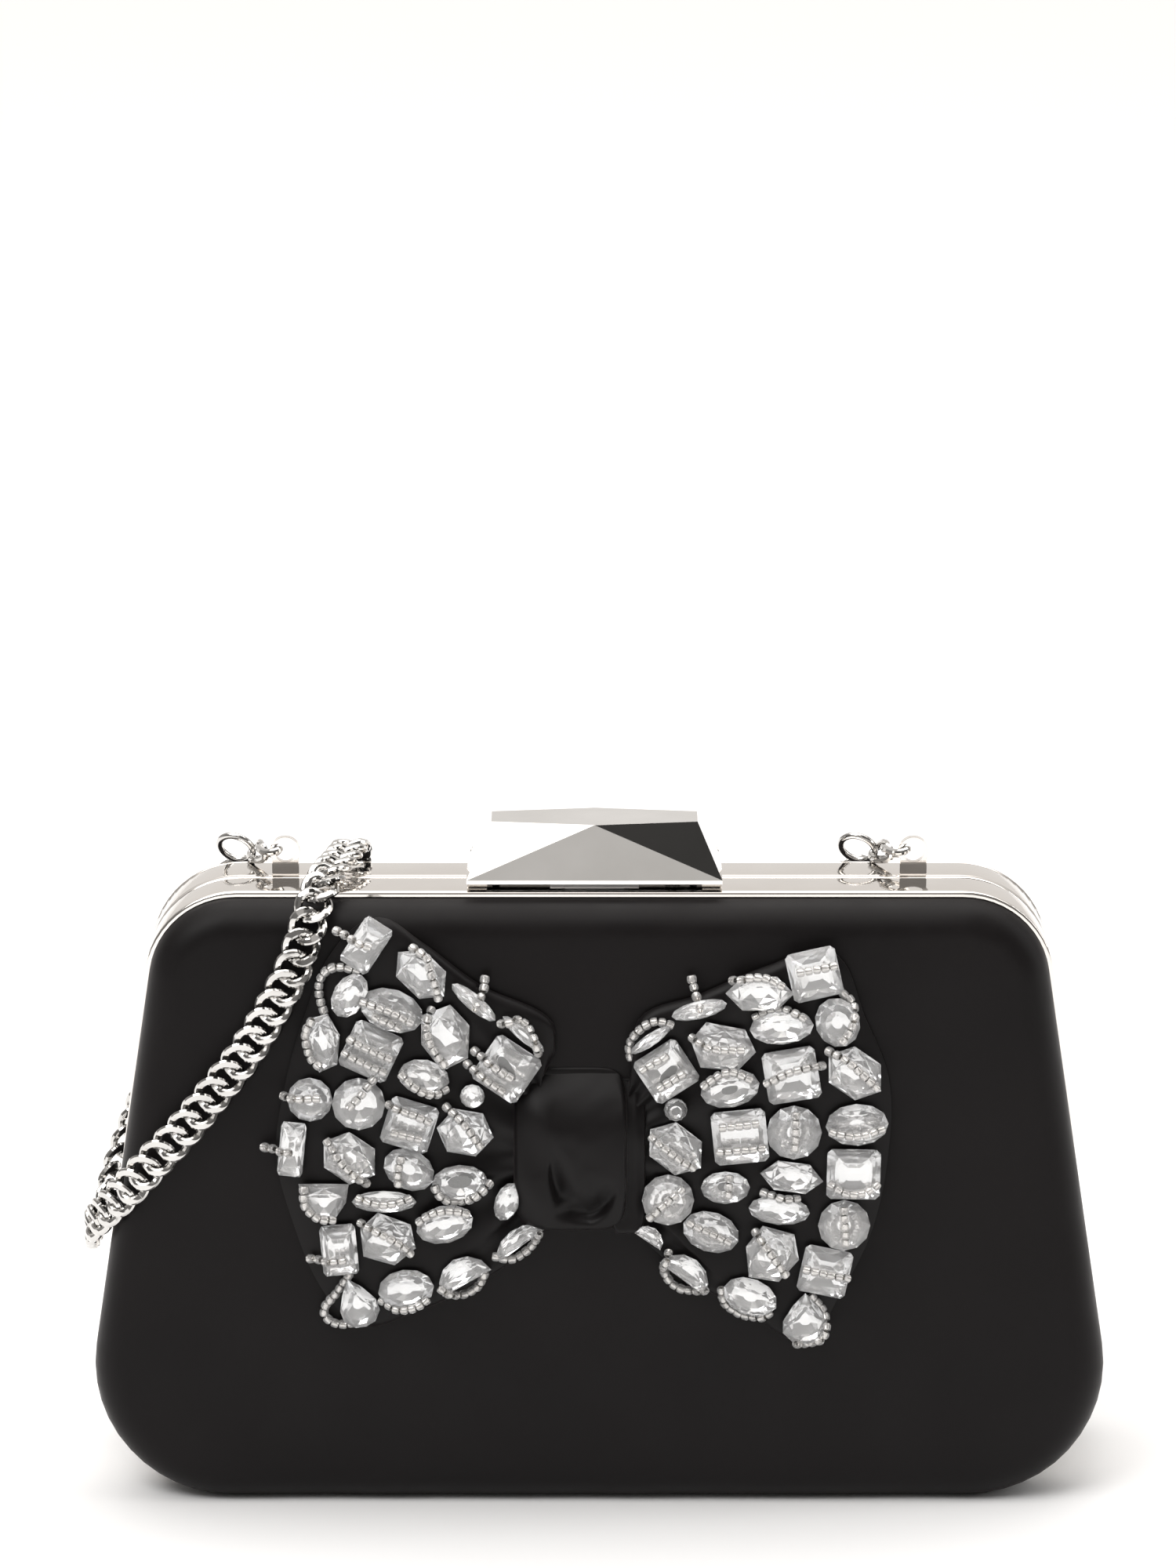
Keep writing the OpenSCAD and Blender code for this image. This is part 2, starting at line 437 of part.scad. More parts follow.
function ngon(n, turn) = [for (k = [0:n - 1]) [cos(360*(k + turn)/n)/2, sin(360*(k + turn)/n)/2]];
function stadium_half() = [for (k = [0:6]) [cos(30*k)/2, sin(30*k) - 0.5]];
cut_square = [[0.5, -0.42], [0.5, 0.42], [0.42, 0.5], [-0.42, 0.5], [-0.5, 0.42], [-0.5, -0.42],
    [-0.42, -0.5], [0.42, -0.5]];
shield = [[0.5, 0.1], [0.25, 0.5], [-0.35, 0.45], [-0.5, 0], [-0.25, -0.5], [0.3, -0.4]];
teardrop = [[0, 0.5], [-0.25, 0.25], [-0.45, -0.05], [-0.45, -0.28], [-0.25, -0.46], [0, -0.5],
    [0.25, -0.46], [0.45, -0.28], [0.45, -0.05], [0.25, 0.25]];
function sized(p, w, h, f, z) = [for (q = p) [f*w*q[0], f*h*q[1], z]];
module stone(p, s) on_face(s[0], s[1], stone_z) rotate([0, 0, s[4]])
    loft([sized(p, s[2], s[3], 0.8, 0), sized(p, s[2], s[3], 1, stone_h*0.3), sized(p, s[2], s[3], 1, stone_h*0.45),
        sized(p, s[2], s[3], 0.62, stone_h)]);
module stones(p, rows) color([0.86, 0.9, 0.93]) at_parting() for (s = rows) stone(p, s);
module stones_square() stones(cut_square, squares);
module stones_round() stones(ngon(12, 0), rounds);
module stones_oval() stones(ngon(12, 0), ovals);
module stones_hex() stones(ngon(6, 0), hexes);
module stones_shield() stones(shield, shields);
module stones_rect() stones(cut_square, rects);
module stones_half() stones(stadium_half(), halves);
module stones_drop() stones(teardrop, drops);

// Strands of seed beads, each along its own points on the bow
left_strands = [[[-53, 122.4], [-46, 120.2]],
    [[-49, 114.6], [-52, 115.2], [-54.8, 114.6], [-56.5, 112.4], [-56.7, 109.4], [-55.8, 106.2]],
    [[-37.5, 119.4], [-34.8, 117.8], [-34, 115], [-32.9, 111.4], [-32.5, 109]],
    [[-47.5, 108.6], [-42.5, 107], [-37.5, 104.3]], [[-45.2, 105.8], [-39.8, 103.2]],
    [[-58.3, 104.5], [-59.4, 102.3], [-59.2, 99.5], [-58.3, 96.7], [-56.4, 95.1]],
    [[-50.2, 100.9], [-42.1, 96.9]], [[-51.4, 98.1], [-43.7, 94.3]],
    [[-34, 106.6], [-35, 103.9], [-34.4, 100.7], [-32.9, 97.9], [-30.6, 94.7]],
    [[-23.2, 112.4], [-23.5, 110.2], [-25.2, 107.3]],
    [[-19.8, 103.9], [-16.7, 104.7], [-14, 102.4], [-12.7, 99.5], [-12.3, 96.5]],
    [[-25.2, 97.9], [-17.1, 92.5]], [[-26.7, 95.3], [-19, 89.9]],
    [[-39.8, 93.5], [-36.7, 90.7], [-32.9, 89.3], [-30.2, 91]], [[-64, 88.6], [-57, 88.9]],
    [[-46, 92.3], [-48.7, 89.1], [-51.4, 86.4]], [[-42.6, 87], [-38, 85.6], [-34.6, 84]],
    [[-41.6, 81.6], [-36.6, 80.4]], [[-31, 86.4], [-27.4, 83.4], [-24, 78.6]],
    [[-68.2, 77.3], [-62.2, 77.6]], [[-55.2, 79.4], [-52.5, 75.4], [-49.4, 72.2], [-47.4, 70.4]],
    [[-40.4, 76], [-41, 73], [-40.8, 70.2]], [[-48.8, 67.6], [-44, 66.6], [-38.6, 67.6]],
    [[-33.4, 69.6], [-31.8, 67.4], [-28.2, 66.6], [-24.6, 68.4], [-22, 70.8]],
    [[-60.2, 69.4], [-60, 66.2], [-57.6, 63.6], [-54.4, 63]],
    [[-48.6, 62], [-44.2, 60.2], [-40.4, 58], [-38, 55.2]],
    [[-36.6, 62.6], [-34, 64.4], [-30, 65], [-26.6, 64.2]], [[-59.1, 54], [-51.6, 54.8]],
    [[-51.4, 50.6], [-54, 46.6], [-56.6, 42.4], [-54.2, 39.8], [-49.8, 40]],
    [[-44.6, 45.2], [-41.6, 43.8], [-37.8, 44.4], [-34.6, 46.6]],
    [[-32.3, 48.2], [-28.6, 46.2], [-25.2, 47.6], [-23.4, 51.2]],
    [[-21.2, 54.6], [-17.6, 54.2], [-14, 56.6], [-12.3, 60]]];
right_strands = [[[40.5, 115.1], [48.7, 116.6]],
    [[27.1, 112.5], [30.2, 113.4], [34.1, 113.3], [37.7, 111.4]],
    [[18.7, 112.4], [19.4, 109.9], [20.8, 106.4]],
    [[14.3, 103.4], [11.1, 104], [7.9, 102], [6.2, 99], [6.4, 95.6]],
    [[18.9, 100.9], [22.5, 99.3], [26, 98.9], [29.2, 98.9]],
    [[31.7, 104.9], [34.5, 106.3], [38.4, 106.5], [41.6, 105.2]],
    [[49.4, 109.6], [51.4, 107.4], [51.2, 104], [49.2, 100.8]], [[8.9, 94.9], [13.6, 97.6]],
    [[12.4, 91.2], [17.6, 94.4]], [[21.4, 91.2], [23.9, 93.2], [27.1, 94], [31, 92.4]],
    [[34.1, 91.9], [38, 94.1], [42.3, 95.3], [45.1, 95.1]],
    [[46.6, 98], [50.1, 96.6], [53.6, 93.6], [57, 90]], [[10.8, 80.4], [15, 77], [20, 73.6]],
    [[25, 82.8], [32, 83.6]], [[24.6, 77.6], [33, 78.4]], [[39.8, 85.2], [39.8, 80.9], [39.6, 77]],
    [[47.4, 81.6], [52.2, 81], [57.6, 82.4]], [[47.2, 70.6], [50.6, 68.8], [54.1, 69.2], [57, 71]],
    [[33.6, 68.2], [37, 67.4], [41, 67]], [[26.4, 72], [26.2, 68]],
    [[16.6, 69.6], [13, 66.4], [10, 63.4]], [[49.8, 65.2], [50.2, 58.4]],
    [[18.6, 62.4], [23, 60.4], [27, 58.4]], [[32, 60], [34.8, 56.4], [38.2, 51.4]],
    [[42.4, 52.8], [46.9, 51.8], [51.6, 50.6]],
    [[14.1, 55.6], [13.2, 51.6], [15.3, 48], [19.1, 47], [22.3, 48.6]],
    [[25, 47.4], [26, 44], [29.8, 41.6], [33.7, 41.8], [35.8, 43.6]],
    [[43.7, 46], [46.2, 42.4], [46.2, 38.6], [43, 36], [39.6, 37]]];
module strand(p) on_face(0, 0, strand_z)
    tube([for (q = p) [q[0], q[1]/cos(face_slope), 0]], [for (q = p) [0, 0, 1]], bead_d, bead_d, 6);
module bead_strands_left() color("white") at_parting() for (p = left_strands) strand(p);
module bead_strands_right() color("white") at_parting() for (p = right_strands) strand(p);

rear_frame();
rear_shell();
rear_cover();
rear_lining();
chain_lugs();
clasp_bracket();
bracket_rivets();
rear_hinge_leaf();
rear_hinge_rivets();
hinge_pin();
front_frame();
front_shell();
front_cover();
front_lining();
striker_spring();
striker_rivets();
front_hinge_leaf();
front_hinge_rivets();
bow_left_wing();
bow_right_wing();
bow_knot();
bow_knot_fold();
stones_square();
stones_round();
stones_oval();
stones_hex();
stones_shield();
stones_rect();
stones_half();
stones_drop();
bead_strands_left();
bead_strands_right();
clasp_bar();
clasp_catch();
clasp_pin();
clasp_spring();
strap_end_links();
strap_end_rings();
strap_drape();
strap_drop();
strap_rise();
strap_hank();
hank_tie();
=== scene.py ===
"""Evening bag: the visual model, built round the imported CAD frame.

Lengths are written in millimetres and turned into metres by at(). The materials, the camera's distance and
the studio are in metres. X runs along the bag, the bow is on its -Y side, and y is counted from the parting
plane between the two halves.
"""
import json
import math
import random
import bpy
import bmesh
from mathutils import Matrix, Vector, noise
from mathutils.bvhtree import BVHTree

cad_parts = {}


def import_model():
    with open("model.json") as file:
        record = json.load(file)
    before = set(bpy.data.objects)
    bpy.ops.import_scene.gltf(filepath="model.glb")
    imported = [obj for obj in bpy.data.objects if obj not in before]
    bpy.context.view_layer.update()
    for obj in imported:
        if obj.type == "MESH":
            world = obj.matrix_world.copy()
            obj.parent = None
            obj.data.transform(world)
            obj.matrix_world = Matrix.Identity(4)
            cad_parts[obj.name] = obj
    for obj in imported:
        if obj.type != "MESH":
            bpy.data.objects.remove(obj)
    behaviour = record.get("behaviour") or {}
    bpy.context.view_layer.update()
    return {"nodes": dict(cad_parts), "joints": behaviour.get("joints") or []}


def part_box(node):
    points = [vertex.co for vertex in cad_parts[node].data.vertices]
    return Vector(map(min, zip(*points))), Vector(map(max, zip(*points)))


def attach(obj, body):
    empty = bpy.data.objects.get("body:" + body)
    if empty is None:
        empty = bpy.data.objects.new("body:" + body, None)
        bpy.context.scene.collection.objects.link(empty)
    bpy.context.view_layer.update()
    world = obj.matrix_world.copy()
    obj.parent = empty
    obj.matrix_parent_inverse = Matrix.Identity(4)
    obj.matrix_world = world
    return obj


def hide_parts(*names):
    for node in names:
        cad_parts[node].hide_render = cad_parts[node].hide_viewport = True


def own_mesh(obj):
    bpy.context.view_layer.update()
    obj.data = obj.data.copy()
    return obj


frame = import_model()

MM = 0.001
JOINTS = {j["name"]: j for j in frame["joints"]}
PARTING_Y = JOINTS["front_open"]["pos_m"][1] / MM
BAG_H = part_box("front_frame")[1][2] / MM

# ---- The case's outline and face, as in the CAD source ----
HALF_DEPTH = 18.0
FACE_SLOPE = math.radians(3.6)
BOTTOM_R = 28.0
CROWN = 1.2
EDGE_ROLL = 7.0
COVER_T = 2.2
SHELL_T = 1.4
LINING_T = 1.0
BOND = 0.05                 # between a cover and its frame
FRAME_D = 11.6
FRAME_T = 1.2
WEB_W = 6.0
HINGE_HALF = 50.3           # half the length of the hinge's slot in the frames' bottoms
HINGE_SLOT = 1.8            # how far the slot cuts each frame back from the parting plane
HINGE_TOP = 10.0            # the slot is only in the outline's points below this height
FRAME_LINE = dict(half=104.2, low=2.45, high=BAG_H, lean=math.radians(7.9), top_r=19.0, bottom_r=25.55)
COVER_LINE = dict(half=105.0, low=0.0, high=BAG_H - 1, lean=math.radians(9), top_r=18.0, bottom_r=BOTTOM_R)


def at(x, y, z):
    """A point in metres in the frame, from millimetres counted from the parting plane."""
    return Vector((x, y + PARTING_Y, z)) * MM


def face_y(z):
    return HALF_DEPTH + (BAG_H - z) * math.tan(FACE_SLOPE)


def on_face(u, v, h):
    """A point h above the front face at u along the bag and v up it."""
    return at(u, -face_y(v) - h * math.cos(FACE_SLOPE), v + h * math.sin(FACE_SLOPE))


def side_x(line, z):
    return line["half"] - (z - BOTTOM_R) * math.tan(line["lean"])


def outline(line, inset):
    """Points round the case in its own plane, anticlockwise from the middle of the bottom."""
    arc_n, run_n, corner = 12, 16, 0.05
    low_r, high_r, lean = line["bottom_r"], line["top_r"], line["lean"]
    low_c = (side_x(line, line["low"] + low_r) - low_r / math.cos(lean), line["low"] + low_r)
    high_c = (side_x(line, line["high"] - high_r) - high_r / math.cos(lean), line["high"] - high_r)

    def arc(centre, radius, start, stop):
        steps = [start + (stop - start) * k / arc_n for k in range(arc_n + 1)]
        return [(centre[0] + radius * math.cos(a), centre[1] + radius * math.sin(a)) for a in steps]

    low = arc(low_c, low_r - inset, -math.pi / 2, lean)
    high = arc(high_c, high_r - inset, lean, math.pi / 2)
    bottom_x = [low_c[0] * k / run_n for k in range(run_n)]
    if line is FRAME_LINE:
        near = min(range(1, run_n), key=lambda k: abs(bottom_x[k] - HINGE_HALF))
        bottom_x[near] = HINGE_HALF - corner
        bottom_x.insert(near + 1, HINGE_HALF + corner)
    bottom = [(x, line["low"] + inset) for x in bottom_x]
    a, b = low[-1], high[0]
    side = [(a[0] + (b[0] - a[0]) * k / run_n, a[1] + (b[1] - a[1]) * k / run_n) for k in range(1, run_n)]
    top = [(high_c[0] * (1 - k / run_n), line["high"] - inset) for k in range(1, run_n + 1)]
    right = bottom + low + side + high + top
    left = [(-x, z) for x, z in right[-2:0:-1]]
    return right + left


# ---- Meshes ----
def piece(name, verts, faces, body, materials, smooth_angle=35, face_slots=None):
    """A closed mesh in metres that rides on a body. Edges are smooth up to smooth_angle degrees."""
    mesh = bpy.data.meshes.new(name)
    mesh.from_pydata([tuple(v) for v in verts], [], faces)
    for m in materials:
        mesh.materials.append(m)
    if face_slots:
        mesh.polygons.foreach_set("material_index", face_slots)
    bm = bmesh.new()
    bm.from_mesh(mesh)
    bmesh.ops.recalc_face_normals(bm, faces=bm.faces)
    limit = math.radians(smooth_angle)
    for face in bm.faces:
        face.smooth = True
    for edge in bm.edges:
        edge.smooth = len(edge.link_faces) == 2 and edge.calc_face_angle(0.0) < limit
    bm.to_mesh(mesh)
    bm.free()
    obj = bpy.data.objects.new(name, mesh)
    bpy.context.scene.collection.objects.link(obj)
    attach(obj, body)
    return obj


def lofted(rings, loop=False):
    """Faces through rings of equal length. Each end is closed by a fan, unless the rings join in a loop."""
    n = len(rings[0])
    verts = [v for ring in rings for v in ring]
    faces = []
    pairs = [(j, j + 1) for j in range(len(rings) - 1)] + ([(len(rings) - 1, 0)] if loop else [])
    for a, b in pairs:
        for k in range(n):
            m = (k + 1) % n
            faces.append((a * n + k, a * n + m, b * n + m, b * n + k))
    if not loop:
        for j in (0, len(rings) - 1):
            centre = sum(rings[j], Vector()) / n
            verts.append(centre)
            faces += [(j * n + k, j * n + (k + 1) % n, len(verts) - 1) for k in range(n)]
    return verts, faces


def grown(parts):
    """Joins parts, each (verts, faces, the faces' material slots), into one mesh's lists."""
    verts, faces, slots = [], [], []
    for v, f, s in parts:
        base = len(verts)
        verts += v
        faces += [tuple(i + base for i in face) for face in f]
        slots += s
    return verts, faces, slots


# ---- Materials ----
NOISE_LOW, NOISE_HIGH = 0.3, 0.7


def material(name):
    m = bpy.data.materials.new(name)
    m.use_nodes = True
    nodes, links = m.node_tree.nodes, m.node_tree.links
    return m, nodes, links, nodes["Principled BSDF"]


def coordinates(nodes, links, scale=(1, 1, 1), turn=(0, 0, 0)):
    """Object coordinates, scaled and turned."""
    source = nodes.new("ShaderNodeTexCoord")
    mapping = nodes.new("ShaderNodeMapping")
    mapping.inputs["Scale"].default_value = scale
    mapping.inputs["Rotation"].default_value = turn
    links.new(source.outputs["Object"], mapping.inputs["Vector"])
    return mapping.outputs["Vector"]


def noise_node(nodes, links, vector, scale, detail=3.0, rough=0.5):
    n = nodes.new("ShaderNodeTexNoise")
    n.inputs["Scale"].default_value = scale
    n.inputs["Detail"].default_value = detail
    n.inputs["Roughness"].default_value = rough
    links.new(vector, n.inputs["Vector"])
    return n.outputs["Fac"]


def mapped(nodes, links, value, start, stop, low, high, blend):
    """Goes from low to high as value goes from start to stop."""
    n = nodes.new("ShaderNodeMapRange")
    n.interpolation_type = blend
    for label, x in (("From Min", start), ("From Max", stop), ("To Min", low), ("To Max", high)):
        n.inputs[label].default_value = x
    links.new(value, n.inputs["Value"])
    return n.outputs["Result"]


def spread(nodes, links, value, low, high):
    """Maps the middle of a noise value's range onto low..high."""
    return mapped(nodes, links, value, NOISE_LOW, NOISE_HIGH, low, high, "LINEAR")


def ramp(nodes, links, value, low, high):
    """Colours the middle of a noise value's range from low to high."""
    n = nodes.new("ShaderNodeValToRGB")
    n.color_ramp.elements[0].position = NOISE_LOW
    n.color_ramp.elements[1].position = NOISE_HIGH
    n.color_ramp.elements[0].color = (*low, 1)
    n.color_ramp.elements[1].color = (*high, 1)
    links.new(value, n.inputs["Fac"])
    return n.outputs["Color"]


def bump(nodes, links, height, strength, distance, after=None):
    n = nodes.new("ShaderNodeBump")
    n.inputs["Strength"].default_value = strength
    n.inputs["Distance"].default_value = distance
    links.new(height, n.inputs["Height"])
    if after is not None:
        links.new(after, n.inputs["Normal"])
    return n.outputs["Normal"]


def fabric(name, low, high, roughness, thread, specular, sheen):
    """Woven satin: fine diagonal floats, slow changes of tone and roughness, and a soft sheen."""
    m, nodes, links, shader = material(name)
    plain = coordinates(nodes, links)
    tone = noise_node(nodes, links, plain, scale=45, detail=4)
    links.new(ramp(nodes, links, tone, low, high), shader.inputs["Base Color"])
    wear = noise_node(nodes, links, plain, scale=90, detail=5)
    links.new(spread(nodes, links, wear, roughness - 0.05, roughness + 0.06), shader.inputs["Roughness"])
    floats = nodes.new("ShaderNodeTexWave")
    floats.inputs["Scale"].default_value = thread
    floats.inputs["Distortion"].default_value = 0.6
    floats.inputs["Detail"].default_value = 1.0
    links.new(coordinates(nodes, links, (1, 0.4, 1), (0, math.radians(38), 0)), floats.inputs["Vector"])
    slubs = noise_node(nodes, links, coordinates(nodes, links, (1, 1, 0.12)), scale=1400, detail=2)
    woven = bump(nodes, links, floats.outputs["Fac"], strength=0.22, distance=0.00005)
    slubbed = bump(nodes, links, slubs, strength=0.16, distance=0.00005, after=woven)
    links.new(slubbed, shader.inputs["Normal"])
    shader.inputs["Specular IOR Level"].default_value = specular
    shader.inputs["Sheen Weight"].default_value = sheen
    shader.inputs["Sheen Roughness"].default_value = 0.35
    shader.inputs["Sheen Tint"].default_value = (0.75, 0.68, 0.68, 1)
    return m


def metal(name, low, high, roughness, scratch=0.05):
    """Polished plate: faint clouding in tone and roughness, and hairline polishing marks."""
    m, nodes, links, shader = material(name)
    plain = coordinates(nodes, links)
    tone = noise_node(nodes, links, plain, scale=60, detail=5)
    links.new(ramp(nodes, links, tone, low, high), shader.inputs["Base Color"])
    marks = noise_node(nodes, links, coordinates(nodes, links, (0.06, 1, 1)), scale=2600, detail=3, rough=0.7)
    links.new(spread(nodes, links, marks, roughness, roughness * 2.2), shader.inputs["Roughness"])
    links.new(bump(nodes, links, marks, strength=scratch, distance=0.00002), shader.inputs["Normal"])
    shader.inputs["Metallic"].default_value = 1.0
    return m


def acrylic(name, tint, clear):
    """Clear moulded acrylic with faint flow lines."""
    m, nodes, links, shader = material(name)
    flow = noise_node(nodes, links, coordinates(nodes, links, (1, 1, 0.4)), scale=420, detail=3)
    links.new(ramp(nodes, links, flow, tint, (1, 1, 1)), shader.inputs["Base Color"])
    links.new(bump(nodes, links, flow, strength=0.04, distance=0.00005), shader.inputs["Normal"])
    shader.inputs["Roughness"].default_value = 0.02
    shader.inputs["Transmission Weight"].default_value = clear
    shader.inputs["IOR"].default_value = 1.49
    return m


def board(name, colour, roughness):
    """Moulded board with a fine grain."""
    m, nodes, links, shader = material(name)
    grain = noise_node(nodes, links, coordinates(nodes, links), scale=700, detail=4)
    links.new(ramp(nodes, links, grain, tuple(c * 0.8 for c in colour), colour), shader.inputs["Base Color"])
    links.new(spread(nodes, links, grain, roughness, roughness + 0.15), shader.inputs["Roughness"])
    links.new(bump(nodes, links, grain, strength=0.3, distance=0.0001), shader.inputs["Normal"])
    return m


SATIN = fabric("black_satin", (0.0048, 0.0038, 0.0040), (0.0068, 0.0054, 0.0056), 0.44, 1900, 0.17, 0.085)
BOW_SATIN = fabric("bow_satin", (0.0042, 0.0034, 0.0036), (0.006, 0.0049, 0.0051), 0.42, 1900, 0.2, 0.09)
LINING = fabric("lining_satin", (0.012, 0.011, 0.012), (0.02, 0.018, 0.019), 0.5, 1500, 0.3, 0.15)
TAPE = fabric("woven_tape", (0.012, 0.012, 0.012), (0.022, 0.021, 0.021), 0.7, 900, 0.3, 0.1)
NICKEL = metal("polished_nickel", (0.80, 0.765, 0.73), (0.86, 0.83, 0.795), 0.05)
BAR_NICKEL = metal("bar_nickel", (0.78, 0.77, 0.75), (0.88, 0.87, 0.855), 0.025, 0.03)
CHAIN_METAL = metal("chain_plate", (0.60, 0.59, 0.575), (0.72, 0.71, 0.695), 0.05, 0.04)
STEEL = metal("bright_steel", (0.5, 0.5, 0.51), (0.62, 0.62, 0.63), 0.22, 0.12)
CLEAR = acrylic("clear_acrylic", (0.98, 0.985, 0.99), 0.78)
BEAD_GLASS = acrylic("bead_glass", (0.96, 0.955, 0.945), 0.76)
FOIL = metal("foil_back", (0.86, 0.87, 0.88), (0.98, 0.98, 0.98), 0.045, 0.06)
SILVER_LINING = metal("silver_lining", (0.7, 0.68, 0.66), (0.85, 0.83, 0.8), 0.15, 0.1)
BOARD = board("moulded_board", (0.03, 0.03, 0.033), 0.6)


def repaint(nodes, mat):
    """Gives CAD nodes that stay as they are another material."""
    for name in nodes:
        node = frame["nodes"][name]
        node.data.materials.clear()
        node.data.materials.append(mat)


repaint(["rear_shell", "front_shell"], BOARD)
repaint(["rear_hinge_leaf", "front_hinge_leaf", "rear_hinge_rivets", "front_hinge_rivets", "hinge_pin",
         "clasp_bracket", "bracket_rivets", "clasp_catch", "clasp_pin", "clasp_spring", "striker_spring",
         "striker_rivets"], STEEL)


# ---- Camera ----
def camera():
    """The view of the front from a little above, with the bag low in a tall frame."""
    distance, elevation = 1.224, math.radians(18.9)
    target = at(0, 0, 64)
    data = bpy.data.cameras.new("camera")
    data.sensor_width = 36
    data.lens = 134.8
    data.shift_x = -0.00725
    data.shift_y = 0.2475
    data.clip_start = 0.05
    obj = bpy.data.objects.new("camera", data)
    bpy.context.scene.collection.objects.link(obj)
    obj.location = target + Vector((0, -math.cos(elevation), math.sin(elevation))) * distance
    obj.rotation_euler = (math.pi / 2 - elevation, 0, 0)
    bpy.context.scene.camera = obj


camera()

# ---- The strap: each row is a point on its route, then the direction that the chain's flat side faces ----
CHAIN_W = 8.0
LINK_PITCH = 4.45
LINK_WIRE_R = 0.9
LINK_WIRE_RISE = 0.74
LINK_TWIST = 0.86
LINK_CUT = 1.3
CHAIN_SMOOTH = 28
JUNCTION = ((-52, 23, 100), (0, 1, 0))
DRAPE = [
    JUNCTION, ((-52, 21.8, 114), (0, 1, 0)), ((-51.5, 19, 124), (0, 0.9, 0.4)),
    ((-51, 14.5, 130), (0, 0.5, 0.85)), ((-51.5, 8, 132), (0, 0.1, 1)), ((-53, 0, 132), (0, 0, 1)),
    ((-55, -8.5, 131.6), (0, -0.2, 1)), ((-57, -15.4, 128.9), (0, -0.6, 0.8)),
    ((-59, -20, 123.2), (0, -0.9, 0.4)), ((-61.5, -22.2, 116), (0, -1, 0.1)), ((-66, -23, 107), (0, -1, 0)),
    ((-71.5, -23.6, 98), (0, -1, 0)), ((-78, -24, 89.5), (0, -1, 0)), ((-85, -24.3, 81), (0, -1, 0)),
    ((-91.5, -24.2, 74), (-0.2, -1, 0)), ((-97, -22.3, 67.5), (-0.5, -0.85, 0)),
    ((-101.5, -18.5, 62), (-0.8, -0.6, 0)), ((-104.8, -12.5, 57), (-1, -0.2, 0)),
    ((-105.8, -4, 52.5), (-1, 0, 0)), ((-105.8, 4, 50.5), (-1, 0, 0)), ((-104.8, 12.5, 51.5), (-1, 0.2, 0)),
    ((-102.8, 19.5, 56.5), (-0.7, 0.7, 0)), ((-99, 24, 65), (-0.3, 0.95, 0)),
    ((-94.5, 25.2, 76), (0, 1, 0)), ((-89.5, 25, 87), (0, 1, 0)), ((-84.5, 24.3, 98), (0, 1, 0)),
    ((-80, 22.8, 109), (0, 1, 0.1)), ((-77, 21.4, 116), (0, 1, 0.1)), ((-76, 20.9, 121), (0, 1, 0.3)),
    ((-75.5, 18.8, 124.8), (0, 0.9, 0.5))]
DROP = [
    ((53.1, 18.8, 124.8), (0, 0.9, 0.5)), ((53.2, 20.6, 121), (0, 1, 0.3)), ((53.4, 22, 114), (0, 1, 0)),
    ((53.8, 23.2, 102), (0, 1, 0)), ((54.2, 24.2, 88), (0, 1, 0)), ((54.6, 25.2, 72), (0, 1, 0)),
    ((55, 26.6, 56), (0, 1, 0)), ((55, 28.4, 41), (0, 1, 0.1)), ((54, 30.6, 28), (0, 1, 0.2)),
    ((50, 33, 16), (0, 0.9, 0.4)), ((42, 35, 7.5), (0, 0.5, 0.8)), ((31, 36, 4), (0, 0.1, 1))]
RISE = [
    ((-8, 44.4, 7.6), (0, 0, 1)), ((-19, 43, 10), (0, 0.3, 1)), ((-30, 39.5, 16), (0, 0.7, 0.7)),
    ((-39, 35, 26), (0, 0.9, 0.3)), ((-45.5, 31, 38), (0, 1, 0)), ((-49.5, 28, 53), (0, 1, 0)),
    ((-51.5, 26, 70), (0, 1, 0)), ((-52, 24.4, 86), (0, 1, 0)), JUNCTION]


def hank_turns():
    """Two turns behind the bag. In front they lie side by side, and behind the second lies on the first.

    The end lies on the second turn's front run, where the strap rises again.
    """
    flat = (0, 0, 1)
    layer, next_layer = 1.8, 5.25
    end_x, near_y, inner_y, far_y = 36, 36, 44.4, 84
    bend_n = 9

    def bend(x, y0, y1, z, side):
        c, r = (y0 + y1) / 2, (y1 - y0) / 2
        order = range(bend_n) if side < 0 else range(bend_n - 1, -1, -1)
        angles = [math.pi * k / (bend_n - 1) for k in order]
        return [((x + side * r * math.sin(a), c - r * math.cos(a), z), flat) for a in angles]

    turns = [((20, near_y, 2.4), flat), ((8, near_y, layer), flat), ((-14, near_y, layer), flat)]
    turns += bend(-end_x, near_y, far_y, layer, -1)
    turns += [((-12, far_y, layer), flat), ((12, far_y, layer), flat)]
    turns += bend(end_x, inner_y, far_y, layer, 1)
    turns += [((20, inner_y, layer), flat), ((6, inner_y, 2.6), flat), ((-8, inner_y, 4.0), flat)]
    turns += [((-22, inner_y, 5.1), flat)] + bend(-end_x, inner_y, far_y, next_layer, -1)
    turns += [((-12, far_y, next_layer), flat), ((12, far_y, next_layer), flat)]
    turns += bend(end_x, inner_y, far_y, next_layer, 1)
    turns += [((20, inner_y, 5.5), flat), ((6, inner_y, 6.6), flat)]
    return turns


